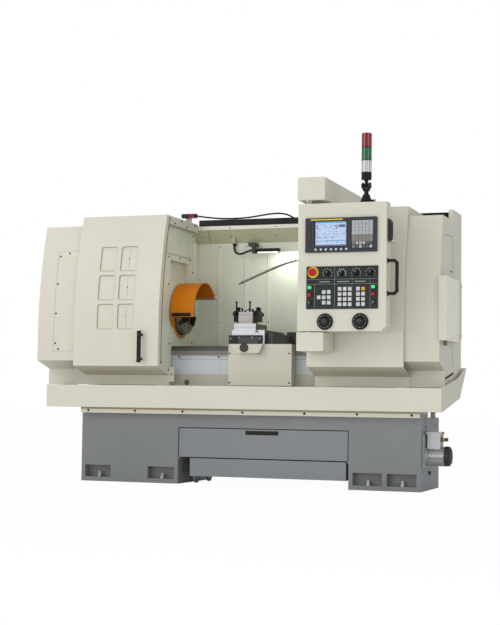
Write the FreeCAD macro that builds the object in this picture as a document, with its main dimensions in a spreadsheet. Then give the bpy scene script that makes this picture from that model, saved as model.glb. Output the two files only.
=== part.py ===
import FreeCAD, Part
import math
import os
import re

import Sketcher

# A flat-bed turning lathe with numerical control, in millimetres.
# The origin is on the floor under the middle of the machine.
# +X runs from the headstock to the tailstock, +Y to the back and +Z up.

doc = FreeCAD.newDocument("Lathe")
sheet = doc.addObject("Spreadsheet::Sheet", "Sizes")

SIZES = {
    # overall
    "left_end": -1258, "right_end": 1258, "sheet_wall": 3, "slide_gap": 0.3, "shaft_fit": 0.05,
    # grey stand
    "stand_front": -296, "stand_back": 184, "stand_top": 407, "stand_wall": 8,
    "left_foot_a": -959, "left_foot_b": -336, "right_foot_a": 696, "right_foot_b": 1108,
    "beam_low": 330, "toe_high": 96, "toe_deep": 60, "toe_plate": 26, "toe_wide": 168, "toe_edge": 24,
    "bolt_radius": 10, "bolt_head": 15, "bolt_head_high": 13,
    # chip pan
    "pan_left": -1165, "pan_right": 1235, "pan_front": -370, "pan_rim": 572, "pan_low": 442,
    "pan_flat": 40, "pan_mid_y": 167, "pan_mid_z": 521, "pan_rear_y": 367,
    "pan_rear_z": 701, "pan_wall": 4, "strip_inset": 25, "strip_left": -947, "strip_right": 1111,
    # bed
    "bed_left": -1120, "bed_right": 1150, "bed_front": -90, "bed_back": 190, "bed_low": 600,
    "bed_top": 806, "way_wide": 90, "way_thick": 48, "web_thick": 26, "way_lip": 12,
    "vee_wide": 40, "vee_high": 8, "rib_thick": 24, "bed_foot_front": -60, "bed_foot_back": 160,
    # spindle line
    "axis_y": 50, "axis_z": 1015, "spindle_radius": 55, "spindle_bore": 26, "head_left": -1080,
    "head_right": -566, "head_front": -90, "head_back": 190, "head_top": 1190, "head_boss": 92,
    "nose_radius": 90, "nose_thick": 22, "spindle_left": -1195, "pulley_radius": 95,
    "pulley_wide": 60, "chuck_radius": 122, "chuck_back": -540, "chuck_front": -431,
    "chuck_bore": 33, "jaw_wide": 30, "jaw_low": 46, "jaw_tall": 66, "jaw_slot": 18, "jaw_proud": 34,
    "jaw_step": 22,
    # chuck guard
    "guard_radius": 190, "guard_left": -466, "guard_right": -313, "guard_wall": 3,
    "guard_rear": 35, "guard_pin": 9, "guard_eye": 18, "rubber_high": 21,
    # doors and covers
    "door_front": -350, "door_top": 1594, "door_low": 686, "arc_foot": 880, "door_lean": 105,
    "door_under": 635, "skirt_y": -175, "skirt_low": 577, "door_left_a": -1003,
    "door_left_b": -452, "door_right_a": 460, "door_right_b": 1018, "door_return": 50,
    "cover_inset": 25, "cover_top": 1540, "cover_low": 718, "cover_under": 672,
    "cover_skirt": -169.5, "guard_back_y": 310, "right_guard_a": 540, "right_guard_b": 1213,
    "panel_wide": 108, "panel_high": 152, "panel_gap": 22, "panel_left": -854, "panel_low_z": 903,
    "panel_deep": 8, "panel_round": 14, "head_wall_x": -478, "strip_low": 1558,
    "back_low": 655.2, "back_cut_y": 222, "ring_radius": 150, "hatch_front": -127,
    "hatch_back": 171, "corner_a": 200, "corner_b": 249, "corner_low": 680, "column_top": 1609,
    "rail_left": -448, "gland_x": 222, "hatch_deep": 30, "seam_wide": 22,
    "handle_x": -558, "handle_low": 705, "handle_high": 892, "handle_proud": 46, "handle_bar": 24,
    "wall_top": 1583, "beam_z": 1475, "beam_y": 262, "rail_low_y": 262, "rail_high": 40,
    "rail_right": 1187, "access_left": -1150, "access_right": -760, "access_low": 773,
    "access_high": 1386, "hatch_low": 1203, "hatch_high": 1335,
    # rear cabinet and side box
    "cabinet_left": 380, "cabinet_right": 1150, "cabinet_back": 610, "cabinet_low": 708,
    "cabinet_top": 1583, "column_front": 52, "box_front": -340, "box_back": 10,
    "box_low": 835, "box_high": 1190,
    # overhead arm and pendant
    "arm_left": 468, "arm_right": 625, "arm_front": -575, "arm_back": 352, "arm_low": 1598,
    "arm_high": 1727, "post_front": -450, "post_back": -366, "block_low": 766, "block_high": 868,
    "pendant_left": 474, "pendant_right": 974, "pendant_low": 874, "pendant_high": 1577,
    "pendant_deep": 90, "pin_x": 522, "pin_radius": 18, "collar_radius": 32, "chamfer_run": 26,
    "display_left": 519, "display_wide": 405, "display_low": 1305, "display_high": 1495,
    "display_proud": 12, "screen_left": 574, "screen_right": 752, "screen_low": 1339,
    "screen_high": 1476, "pad_left": 784, "pad_right": 901, "pad_low": 1324, "pad_high": 1475,
    "panel_x": 526, "panel_w": 404, "panel_z": 995, "panel_h": 234, "panel_proud": 5,
    "key_size": 22, "key_proud": 3, "stop_x": 565, "stop_z": 1196, "stop_radius": 20,
    "knob_z": 1190, "knob_radius": 15, "knob_first": 646, "knob_pitch": 80.7, "knob_tall": 18,
    "wheel_radius": 38, "wheel_z": 926, "wheel_first": 634, "wheel_pitch": 198, "wheel_tall": 34,
    "grip_low": 1070, "grip_high": 1265, "grip_proud": 60, "grip_bar": 16,
    # signal tower
    "tower_x": 848, "tower_y": -530, "tower_radius": 28, "knuckle_z": 1673, "collar_z": 1706,
    "white_z": 1744, "green_z": 1812, "red_z": 1883, "tower_top": 1962, "base_radius": 31,
    # carriage
    "saddle_left": -80, "saddle_right": 312, "saddle_front": -162, "saddle_back": 212,
    "saddle_low": 772, "saddle_high": 822, "cross_ways": 866, "way_back": 300, "side_cover_top": 888,
    "rear_cover_top": 912, "apron_low": 578, "apron_gap": 3,
    "slide_left": -59, "slide_right": 144, "slide_back": 200, "slide_high": 905,
    "plate_left": -70, "plate_right": 66, "plate_front": -98, "plate_back": 110, "plate_high": 946,
    "nose_deep": 38, "way_neck": 62, "way_half": 74,
    "nose_left": -60, "nose_right": 146, "wiper_high": 874, "slot_x": 96, "post_left": -50, "post_right": 44,
    "post_y": -40, "post_size": 94, "post_top": 1017, "holder_wide": 30, "tool_size": 20,
    "screw_y": 50, "screw_z": 700, "screw_radius": 16, "screw_left": -436, "screw_right": 830,
    # tailstock
    "tail_left": 780, "tail_right": 1010, "tail_front": -30, "tail_back": 130, "tail_high": 1082,
    "quill_radius": 32, "quill_out": 700, "quill_bore": 12, "tail_wheel_x": 1040, "tail_wheel": 80,
    # drawer and tank
    "drawer_left": -331, "drawer_right": 691, "drawer_low": 158, "drawer_high": 325,
    "drawer_back": 160, "tank_left": -262, "tank_right": 680, "tank_low": 48, "tank_high": 152,
    "caster_radius": 40, "runner_wide": 10, "runner_high": 12,
    # coolant pump, lamp, nozzle, cables
    "pump_y": -170, "pump_z": 196, "pump_radius": 56, "pump_end": 1252, "lamp_x": -57,
    "lamp_y": 240, "lamp_z": 1418, "lamp_long": 157, "cable_radius": 5, "conduit_radius": 6,
    "lock_left": -563, "lock_right": -465, "lock_y": 260, "lock_z": 1640, "lock_wide": 36,
    "lock_high": 25,
    # spindle motor
    "motor_y": -205, "motor_z": 880, "motor_radius": 88, "motor_left": -1060, "motor_right": -740,
    "motor_pulley": 52, "belt_thick": 6, "belt_clear": 8, "guard_clear": 14,
}

for row, (name, number) in enumerate(SIZES.items(), start=1):
    sheet.set("A%d" % row, name)
    sheet.set("B%d" % row, str(number))
    sheet.setAlias("B%d" % row, name)
doc.recompute()

WORD = re.compile(r"[a-z][a-z_0-9]*")
NODES = []
PLANES = {"xy": "XY_Plane", "xz": "XZ_Plane", "yz": "YZ_Plane"}
TURN = {
    "x": FreeCAD.Rotation(FreeCAD.Vector(0, 1, 0), 90),
    "y": FreeCAD.Rotation(FreeCAD.Vector(1, 0, 0), -90),
    "z": FreeCAD.Rotation(),
}


def words(formula):
    """The formula with each size read from the sheet."""
    return WORD.sub(lambda w: "Sizes." + w.group() if w.group() in SIZES else w.group(), str(formula))


def value(formula):
    """What the formula comes to, as a number."""
    return float(sheet.evalExpression(words(formula)))


def bind(item, **formulas):
    for field, formula in formulas.items():
        item.setExpression(field.replace("_at_", "."), words(formula))
    return item


def place(item, x, y, z):
    for letter, formula in zip("xyz", (x, y, z)):
        item.setExpression("Placement.Base." + letter, words(formula))
    return item


def block(x_a, x_b, y_a, y_b, z_a, z_b):
    """A box between two corners."""
    item = doc.addObject("Part::Box", "Block")
    bind(item, Length=f"({x_b}) - ({x_a})", Width=f"({y_b}) - ({y_a})", Height=f"({z_b}) - ({z_a})")
    return place(item, x_a, y_a, z_a)


def rod(axis, start, long, across, radius):
    """A cylinder along an axis, from start for its length; across holds its two other places."""
    item = doc.addObject("Part::Cylinder", "Rod")
    item.Placement = FreeCAD.Placement(FreeCAD.Vector(), TURN[axis])
    bind(item, Radius=radius, Height=long)
    spots = list(across)
    spots.insert("xyz".index(axis), start)
    return place(item, *spots)


def union(*items):
    item = doc.addObject("Part::MultiFuse", "Union")
    item.Shapes = list(items)
    return item


def minus(base, *tools):
    item = doc.addObject("Part::Cut", "Cut")
    item.Base = base
    item.Tool = tools[0] if len(tools) == 1 else union(*tools)
    return item


def overlap(one, other):
    item = doc.addObject("Part::Common", "Common")
    item.Base = one
    item.Tool = other
    return item


def group(*items):
    item = doc.addObject("Part::Compound", "Group")
    item.Links = list(items)
    return item


def rounded(item, radius, pick):
    """Rounds the edges that pick chooses, by the middle of each edge and its direction."""
    doc.recompute()
    chosen = []
    for number, edge in enumerate(item.Shape.Edges, start=1):
        ends = [v.Point for v in edge.Vertexes]
        if len(ends) == 2 and pick(ends[0], ends[1]):
            chosen.append((number, value(radius), value(radius)))
    result = doc.addObject("Part::Fillet", "Rounded")
    result.Base = item
    result.Edges = chosen
    return result


def along(letter):
    """Picks straight edges that run along one axis."""
    def pick(a, b):
        run = b - a
        return abs(getattr(run, letter)) > 0.999 * run.Length
    return pick


def arc_between(start, end, radius):
    """The arc of a circle from start to end; a negative radius turns the other way."""
    chord = end - start
    middle = (start + end) / 2
    away = FreeCAD.Vector(-chord.y, chord.x, 0).normalize()
    height = math.sqrt(max(radius * radius - chord.Length ** 2 / 4, 0))
    centre = middle + away * (height if radius > 0 else -height)
    if radius < 0:
        start, end = end, start
    a = math.atan2(start.y - centre.y, start.x - centre.x)
    b = math.atan2(end.y - centre.y, end.x - centre.x)
    circle = Part.Circle(centre, FreeCAD.Vector(0, 0, 1), abs(radius))
    return Part.ArcOfCircle(circle, a, b)


def outline(body, plane, start, points):
    """A closed sketch; a point is (across, up) or (across, up, radius of the arc to the next)."""
    sketch = body.newObject("Sketcher::SketchObject", "Sketch")
    role = PLANES[plane]
    origin_plane = [o for o in body.Origin.OriginFeatures if o.Role == role][0]
    sketch.AttachmentSupport = [(origin_plane, "")]
    sketch.MapMode = "FlatFace"
    sketch.setExpression("AttachmentOffset.Base.z", words(start))
    spots = [FreeCAD.Vector(value(p[0]), value(p[1]), 0) for p in points]
    ends = []
    for i, point in enumerate(points):
        a, b = spots[i], spots[(i + 1) % len(points)]
        if len(point) == 3:
            radius = value(point[2])
            sketch.addGeometry(arc_between(a, b, radius), False)
            ends.append((1, 2) if radius > 0 else (2, 1))
        else:
            sketch.addGeometry(Part.LineSegment(a, b), False)
            ends.append((1, 2))
    for i in range(len(points)):
        after = (i + 1) % len(points)
        sketch.addConstraint(Sketcher.Constraint("Coincident", i, ends[i][1], after, ends[after][0]))
    for i, point in enumerate(points):
        for kind, spot, formula in (("DistanceX", spots[i].x, point[0]), ("DistanceY", spots[i].y, point[1])):
            number = sketch.addConstraint(Sketcher.Constraint(kind, -1, 1, i, ends[i][0], spot))
            sketch.setExpression("Constraints[%d]" % number, words(formula))
        if len(point) == 3:
            number = sketch.addConstraint(Sketcher.Constraint("Radius", i, abs(value(point[2]))))
            sketch.setExpression("Constraints[%d]" % number, words(f"abs({point[2]})"))
    return sketch


def pad(plane, start, long, points):
    """A padded outline. On the yz plane it runs along +X, on xy along +Z, on xz along -Y."""
    body = doc.addObject("PartDesign::Body", "Body")
    sketch = outline(body, plane, start if plane != "xz" else f"-({start})", points)
    feature = body.newObject("PartDesign::Pad", "Pad")
    feature.Profile = sketch
    bind(feature, Length=long)
    return body


def turned(axis, across, points):
    """A turned piece: points are (place along the axis, radius)."""
    body = doc.addObject("PartDesign::Body", "Turned")
    sketch = outline(body, "xy", "0", points)
    feature = body.newObject("PartDesign::Revolution", "Revolution")
    feature.Profile = sketch
    feature.ReferenceAxis = (sketch, ["H_Axis"])
    feature.Angle = 360
    spin = {
        "x": FreeCAD.Rotation(),
        "y": FreeCAD.Rotation(FreeCAD.Vector(0, 0, 1), 90),
        "z": FreeCAD.Rotation(FreeCAD.Vector(0, 1, 0), -90),
    }
    body.Placement = FreeCAD.Placement(FreeCAD.Vector(), spin[axis])
    spots = list(across)
    spots.insert("xyz".index(axis), "0")
    return place(body, *spots)


def keep(item, name):
    """Names a finished piece, which goes to a file of that name."""
    item.Label = name
    NODES.append(item)
    return item


# The curved front that the doors and the fixed covers share: upright up to arc_foot, and
# leaning back above it along one large arc.
ARC = "(((door_top - arc_foot)^2 + door_lean^2) / (2 * door_lean))"


def lean_y(inset, height):
    """Where the curved front is at a height, set in from the doors' outside."""
    return f"(door_front + {ARC} - sqrt(({ARC} - ({inset}))^2 - ({height} - arc_foot)^2))"


def front_line(inset, low, under, skirt, top):
    """The outside line of a door or cover, from the foot of its skirt up to its top."""
    front = f"(door_front + {inset})"
    return [
        (skirt, "skirt_low"), (skirt, under), (front, low),
        (front, "arc_foot", f"-({ARC} - ({inset}))"), (lean_y(inset, top), top),
    ]


def skin_section(inset, low, under, skirt, top, back, closed):
    """The folded sheet of a door or cover, seen from its end."""
    wall = "sheet_wall"
    inner = f"({inset} + {wall})"
    points = front_line(inset, low, under, skirt, top)
    points.append((back, top))
    if closed:
        points += [(back, "back_low"), (f"{back} - {wall}", "back_low"), (f"{back} - {wall}", f"{top} - {wall}")]
    else:
        points.append((back, f"{top} - {wall}"))
    points += [
        (lean_y(inner, f"({top} - {wall})"), f"{top} - {wall}", f"{ARC} - {inner}"),
        (f"door_front + {inner}", "arc_foot"), (f"door_front + {inner}", f"{low} + {wall}"),
        (f"{skirt} + {wall}", f"{under} + {wall}"), (f"{skirt} + {wall}", "skirt_low"),
    ]
    return points


def end_section(inset, low, under, skirt, top, back):
    """The end plate of a cover; its foot is cut away where the pan rises behind."""
    return front_line(inset, low, under, skirt, top) + [
        (back, top), (back, "back_low"), ("back_cut_y", "skirt_low")]


def return_section(deep):
    """A strip folded back from a door's upright edge, as deep as given."""
    slope = f"(door_low - door_under) * ({deep}) / (skirt_y - door_front)"
    return [
        ("door_front", "door_low"), ("door_front", "arc_foot", f"-({ARC})"),
        (lean_y("0", "door_top"), "door_top"),
        (lean_y(f"({deep})", "door_top"), "door_top", f"{ARC} - ({deep})"), (f"door_front + {deep}", "arc_foot"),
        (f"door_front + {deep}", f"door_low - {slope}"),
    ]


# ---------------------------------------------------------------- stand, pan and bed

def pedestal(left, right):
    """One hollow pedestal with a pocket at each foot for its levelling screw."""
    outer = block(left, right, "stand_front", "stand_back", 0, "stand_top")
    inner = block(f"{left} + stand_wall", f"{right} - stand_wall", "stand_front + toe_deep + stand_wall",
                  "stand_back - toe_deep - stand_wall", "-1", "stand_top - stand_wall")
    upper = block(f"{left} + stand_wall", f"{right} - stand_wall", "stand_front + stand_wall",
                  "stand_back - stand_wall", "toe_high + stand_wall", "stand_top - stand_wall")
    pockets = []
    for x in toe_places(left, right):
        for y_a, y_b in (("stand_front - 1", "stand_front + toe_deep"),
                         ("stand_back - toe_deep", "stand_back + 1")):
            pockets.append(block(x, f"{x} + toe_wide", y_a, y_b, "toe_plate", "toe_high"))
    return minus(outer, inner, upper, *pockets)


def toe_places(left, right):
    return [f"{left} + toe_edge", f"{right} - toe_edge - toe_wide"]


def toe_bolts():
    """The middle of each foot pocket."""
    spots = []
    for left, right in (("left_foot_a", "left_foot_b"), ("right_foot_a", "right_foot_b")):
        for x in toe_places(left, right):
            for y in ("stand_front + toe_deep / 2", "stand_back - toe_deep / 2"):
                spots.append((f"{x} + toe_wide / 2", y))
    return spots


def make_stand():
    beam = minus(block("left_foot_b", "right_foot_a", "stand_front", "stand_back", "beam_low", "stand_top"),
                 block("left_foot_b - 1", "right_foot_a + 1", "stand_front + stand_wall",
                       "stand_back - stand_wall", "beam_low - 1", "stand_top - stand_wall"))
    runners = [block(a, b, "stand_front + 10", "drawer_back - 10", "drawer_low - slide_gap - runner_high",
                     "drawer_low - slide_gap")
               for a, b in (("left_foot_b", "left_foot_b + runner_wide"), ("right_foot_a - runner_wide", "right_foot_a"))]
    whole = union(pedestal("left_foot_a", "left_foot_b"), pedestal("right_foot_a", "right_foot_b"), beam, *runners)
    holes = [rod("z", "-1", "toe_plate + 2", spot, "bolt_radius + slide_gap") for spot in toe_bolts()]
    keep(minus(whole, *holes), "stand")


def make_levelling_bolts():
    pieces = []
    for spot in toe_bolts():
        shank = rod("z", 0, "toe_plate + bolt_head_high + 18", spot, "bolt_radius")
        head = doc.addObject("Part::Prism", "Head")
        head.Polygon = 6
        bind(head, Circumradius="bolt_head", Height="bolt_head_high")
        place(head, spot[0], spot[1], "toe_plate")
        pieces.append(union(shank, head))
    keep(group(*pieces), "levelling_bolts")


def leg_places():
    return (("left_foot_a + 60", "left_foot_b - 60"), ("right_foot_a + 60", "right_foot_b - 60"))


def make_pan():
    """A folded tray whose floor falls to the front and whose rear rises behind the bed."""
    floor = [
        ("pan_front", "pan_rim"), ("pan_front", "pan_low"), ("pan_front + pan_flat", "pan_low"),
        ("pan_mid_y", "pan_mid_z"), ("pan_rear_y", "pan_rear_z"), ("pan_rear_y - 1.35 * pan_wall", "pan_rear_z"),
        ("pan_mid_y - 0.375 * pan_wall", "pan_mid_z + pan_wall"), ("pan_front + pan_flat", "pan_low + pan_wall"),
        ("pan_front + pan_wall", "pan_low + pan_wall"), ("pan_front + pan_wall", "pan_rim"),
    ]
    left_end = floor[:6] + [ ("pan_mid_y + 64", "pan_rim")]
    right_end = floor[:5] + [("pan_rear_y - 30", "pan_rear_z"), ("pan_mid_y - 67", "pan_rim + 62")]
    tray = union(
        pad("yz", "pan_left", "pan_right - pan_left", floor),
        pad("yz", "pan_left", "pan_wall", left_end),
        pad("yz", "pan_right - pan_wall", "pan_wall", right_end),
    )
    holes = [block(f"{a} - 1", f"{b} + 1", "bed_foot_front - 1", "bed_foot_back + 1", "pan_low", "pan_rear_z")
             for a, b in leg_places()]
    keep(minus(tray, *holes), "pan")


def make_pan_strip():
    """The frame on the stand that carries the pan, with its front strip."""
    front = "(pan_front + strip_inset)"
    strip = block("strip_left", "strip_right", front, f"{front} + sheet_wall", "stand_top", "pan_low")
    shelf = block("strip_left", "strip_right", front, "stand_front + 60", "stand_top", "stand_top + sheet_wall")
    webs = [block(x, f"{x} + 20", front, "pan_front + pan_flat", "stand_top", "pan_low")
            for x in ("strip_left", "strip_right - 20", "strip_left / 2", "strip_right / 2")]
    slope = "(pan_mid_z - pan_low) / (pan_mid_y - pan_front - pan_flat)"
    top = f"pan_low + (pan_mid_y - 30 - pan_front - pan_flat) * {slope}"
    props = [block(x, f"{x} + 25", "pan_mid_y - 30", "pan_mid_y - 5", "stand_top", top)
             for x in ("left_foot_a + 20", "left_foot_b - 40", "right_foot_a + 15", "right_foot_b - 40")]
    keep(union(strip, shelf, *webs, *props), "pan_strip")


def make_bed():
    """A cast bed: two ways on webs, cross ribs between them and two feet on the pedestals."""
    long = "bed_right - bed_left"
    vee_y = "(bed_front + way_lip + vee_wide / 2)"
    front = pad("yz", "bed_left", long, [
        ("bed_front", "bed_top - way_thick"), ("bed_front", "bed_top"), ("bed_front + way_lip", "bed_top"),
        (vee_y, "bed_top + vee_high"), ("bed_front + way_lip + vee_wide", "bed_top"),
        ("bed_front + way_wide", "bed_top"), ("bed_front + way_wide", "bed_top - way_thick"),
        ("bed_front + 8 + web_thick", "bed_top - way_thick - 26"), ("bed_front + 8 + web_thick", "bed_low"),
        ("bed_front + 8", "bed_low"), ("bed_front + 8", "bed_top - way_thick - 8"),
    ])
    rear = pad("yz", "bed_left", long, [
        ("bed_back", "bed_top - way_thick"), ("bed_back", "bed_top"), ("bed_back - way_wide", "bed_top"),
        ("bed_back - way_wide", "bed_top - way_thick"),
        ("bed_back - 8 - web_thick", "bed_top - way_thick - 26"), ("bed_back - 8 - web_thick", "bed_low"),
        ("bed_back - 8", "bed_low"), ("bed_back - 8", "bed_top - way_thick - 8"),
    ])
    pieces = [front, rear]
    for i in range(6):
        x = f"(bed_left + ({long} - rib_thick) * {i} / 5)"
        pieces.append(block(x, f"{x} + rib_thick", "bed_front + 20", "bed_back - 20", "bed_low",
                            "bed_low + 50"))
    for a, b in leg_places():
        pieces.append(block(a, b, "bed_foot_front", "bed_foot_back", "stand_top", "bed_low + 40"))
    keep(union(*pieces), "bed")


# ---------------------------------------------------------------- headstock and spindle

def make_headstock():
    body = block("head_left", "head_right", "head_front", "head_back", "bed_top + vee_high", "head_top")
    body = rounded(body, "24", lambda a, b: along("x")(a, b) and a.z > value("head_top") - 1)
    foot = block("head_left", "head_right", "bed_front + way_lip + vee_wide", "head_back", "bed_top",
                 "bed_top + vee_high")
    boss = rod("x", "head_left - 20", "head_right - head_left + 20", ("axis_y", "axis_z"), "head_boss")
    bore = rod("x", "head_left - 30", "head_right - head_left + 60", ("axis_y", "axis_z"),
               "spindle_radius + shaft_fit")
    hollow = block("head_left + 90", "head_right - 90", "head_front + 24", "head_back - 24",
                   "bed_top + vee_high + 24", "head_top - 24")
    belt_room = pad("yz", "spindle_left", "14 + pulley_wide + belt_clear", belt_loop(value("belt_thick + belt_clear")))
    keep(minus(union(body, foot, boss), bore, hollow, belt_room), "headstock")


def make_spindle():
    """The hollow spindle with its nose flange and, at the rear, its grooved pulley."""
    groove = "pulley_wide / 6"
    points = [("spindle_left", "spindle_bore"), ("spindle_left", "spindle_radius - 8"),
              ("spindle_left + 14", "spindle_radius - 8"), ("spindle_left + 14", "pulley_radius")]
    for i in range(5):
        x = f"spindle_left + 14 + {groove} / 2 + {i} * {groove}"
        points += [(x, "pulley_radius"), (f"{x} + {groove} / 2", f"pulley_radius - {groove}")]
    points += [
        ("spindle_left + 14 + pulley_wide", "pulley_radius"),
        ("spindle_left + 14 + pulley_wide", "spindle_radius"),
        ("head_right + 4", "spindle_radius"), ("head_right + 4", "nose_radius"),
        ("head_right + 4 + nose_thick", "nose_radius"), ("head_right + 4 + nose_thick", "spindle_bore"),
    ]
    keep(turned("x", ("axis_y", "axis_z"), points), "spindle")


def jaw_turn(item, number):
    """Turns a piece about the spindle axis to the place of one of the three jaws."""
    centre = FreeCAD.Vector(0, value("axis_y"), value("axis_z"))
    turn = FreeCAD.Rotation(FreeCAD.Vector(1, 0, 0), 120 * number)
    holder = doc.addObject("Part::Compound", "Turned")
    holder.Links = [item]
    holder.Placement = FreeCAD.Placement(centre - turn.multVec(centre), turn)
    return holder


def jaw_slot(number):
    tool = block("chuck_front - jaw_slot", "chuck_front + 1", "axis_y - jaw_wide / 2 - slide_gap",
                 "axis_y + jaw_wide / 2 + slide_gap", "axis_z + chuck_bore - 5", "axis_z + chuck_radius + 5")
    return jaw_turn(tool, number)


def make_chuck():
    body = turned("x", ("axis_y", "axis_z"), [
        ("chuck_back", "chuck_bore"), ("chuck_back", "nose_radius + 8"),
        ("chuck_back + 14", "nose_radius + 8"), ("chuck_back + 18", "chuck_radius"),
        ("chuck_front - 4", "chuck_radius"), ("chuck_front", "chuck_radius - 4"),
        ("chuck_front", "chuck_bore"),
    ])
    holes = [jaw_slot(n) for n in range(3)]
    for n in range(3):
        hole = rod("z", "axis_z + chuck_radius - 20", 30, ("(chuck_back + chuck_front) / 2 - 6", "axis_y"), "7")
        holes.append(jaw_turn(hole, n + 0.5))
    for n in range(6):
        screw = rod("x", "chuck_front - 8", 12, ("axis_y", "axis_z + 84"), "6.5")
        holes.append(jaw_turn(screw, (n + 0.5) / 2) if n % 2 == 0 else jaw_turn(screw, n / 2 + 0.12))
    keep(minus(body, *holes), "chuck_body")


def make_jaws():
    for number in range(3):
        low = "axis_z + jaw_low"
        jaw = pad("xz", "axis_y + jaw_wide / 2", "jaw_wide", [
            ("chuck_front - jaw_slot + slide_gap", low), ("chuck_front + jaw_proud", low),
            ("chuck_front + jaw_proud", f"{low} + jaw_step"),
            ("chuck_front + jaw_proud - 12", f"{low} + jaw_step"),
            ("chuck_front + jaw_proud - 12", f"{low} + 2 * jaw_step"),
            ("chuck_front + jaw_proud - 24", f"{low} + 2 * jaw_step"),
            ("chuck_front + jaw_proud - 24", f"{low} + jaw_tall"),
            ("chuck_front - jaw_slot + slide_gap", f"{low} + jaw_tall"),
        ])
        keep(jaw_turn(jaw, number), "jaw_%d" % (number + 1))


def guard_pivot():
    """The place of the chuck guard's hinge, beyond its rear edge."""
    reach = "(guard_radius + guard_eye - 5)"
    return (f"(axis_y + {reach} * cos(guard_rear * 1deg))", f"(axis_z + {reach} * sin(guard_rear * 1deg))")


def make_chuck_guard():
    """A rolled sheet over the chuck with an end plate, a rubber lip and a hinge eye behind."""
    deg = "guard_rear * 1deg"
    outer, inner = "guard_radius", "(guard_radius - guard_wall)"
    hole = "(chuck_radius + guard_clear)"
    rear = [(f"axis_y + {r} * cos({deg})", f"axis_z + {r} * sin({deg})") for r in (outer, inner, hole)]
    long = "guard_right - guard_left"
    shell = pad("yz", "guard_left", long, [
        rear[0] + (outer,), (f"axis_y - {outer}", "axis_z"), (f"axis_y - {outer}", "axis_z - rubber_high - 8"),
        (f"axis_y - {inner}", "axis_z - rubber_high - 8"), (f"axis_y - {inner}", "axis_z", f"-{inner}"), rear[1],
    ])
    plate = pad("yz", "guard_left", "guard_wall", [
        rear[0] + (outer,), (f"axis_y - {outer}", "axis_z"), (f"axis_y - {outer} + 2", "axis_z - rubber_high - 9"),
        (f"axis_y - {outer} + 25", "axis_z - 62"), (f"axis_y - {outer} + 62", "axis_z - 88"),
        (f"axis_y - {hole} + 22", "axis_z - 73"), (f"axis_y - {hole}", "axis_z", f"-{hole}"), rear[2],
    ])
    lip = block("guard_left + 10", "guard_right - 20", f"axis_y - {outer} - 4", f"axis_y - {outer}",
                "axis_z - rubber_high - 4", "axis_z - 4")
    pivot = guard_pivot()
    eye = rod("x", "guard_left", long, pivot, "guard_eye")
    pin = rod("x", "guard_left - 1", f"{long} + 2", pivot, "guard_pin + shaft_fit")
    keep(minus(union(shell, plate, lip, eye), pin), "chuck_guard")


# ---------------------------------------------------------------- covers, doors and walls

def make_left_cover():
    """The headstock's cover: one folded sheet with a plate at its end and a hole for long bars."""
    args = ("cover_inset", "cover_low", "cover_under", "cover_skirt", "cover_top", "guard_back_y")
    sheet_part = pad("yz", "left_end", "head_wall_x - left_end", skin_section(*args, True))
    end = pad("yz", "left_end", "sheet_wall", end_section(*args))
    hole = rod("x", "left_end - 1", "sheet_wall + 2", ("axis_y", "axis_z"), "spindle_radius")
    keep(minus(union(sheet_part, end), hole), "left_cover")


def make_access_panel():
    """A screwed panel that follows the cover's curve."""
    slab = pad("yz", "access_left", "access_right - access_left", [
        ("door_front + cover_inset - 2", "access_low"), ("door_front + cover_inset - 2", "arc_foot", f"-({ARC} - cover_inset + 2)"),
        (lean_y("(cover_inset - 2)", "access_high"), "access_high"),
        (lean_y("cover_inset", "access_high"), "access_high", f"{ARC} - cover_inset"),
        ("door_front + cover_inset", "arc_foot"), ("door_front + cover_inset", "access_low"),
    ])
    keep(slab, "access_panel")


def make_headstock_wall():
    """The wall before the headstock, with a ring at its opening, a sunk hatch and the guard's pin."""
    inset = "(panel_deep + sheet_wall + 1)"
    face = "(head_wall_x + sheet_wall)"
    hole = "(chuck_radius + 8)"
    edge = [
        ("cover_skirt", "skirt_low"), ("cover_skirt", "door_under + 6"), (f"door_front + {inset}", "door_low + 6"),
        (f"door_front + {inset}", "arc_foot", f"-({ARC} - {inset})"), (lean_y(inset, "wall_top"), "wall_top"),
        ("guard_back_y", "wall_top"), ("guard_back_y", "back_low"), ("back_cut_y", "skirt_low"),
    ]
    plate = pad("yz", "head_wall_x", "sheet_wall", edge)
    strip = block(face, f"{face} + 3", "corner_a", "corner_b", "bed_top + 20", "cover_top - 4")
    post = block(face, f"{face} + 14", "corner_b", "guard_back_y - sheet_wall", "corner_low", "beam_z")
    ring = turned("x", ("axis_y", "axis_z"), [
        (face, hole), (face, "ring_radius"), (f"{face} + 4", "ring_radius - 3"), (f"{face} + 4", hole),
    ])
    opening = rod("x", "head_wall_x - 1", "sheet_wall + 2", ("axis_y", "axis_z"), hole)
    bed_gap = block("head_wall_x - 1", f"{face} + 1", "bed_front - 2", "bed_back + 2",
                    "skirt_low - 1", "bed_top + vee_high + 1")
    window = ("hatch_front", "hatch_back", "hatch_low", "hatch_high")
    hatch = block("head_wall_x - 1", f"{face} + 1", *window)
    cup = minus(block("head_wall_x - hatch_deep", "head_wall_x + 1", "hatch_front - 4", "hatch_back + 4",
                      "hatch_low - 4", "hatch_high + 4"),
                block("head_wall_x - hatch_deep + 3", "head_wall_x + 2", *window))
    pin = rod("x", face, f"guard_right - {face} + 10", guard_pivot(), "guard_pin")
    keep(union(minus(union(plate, strip, post), opening, bed_gap, hatch), ring, cup, pin), "headstock_wall")


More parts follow.
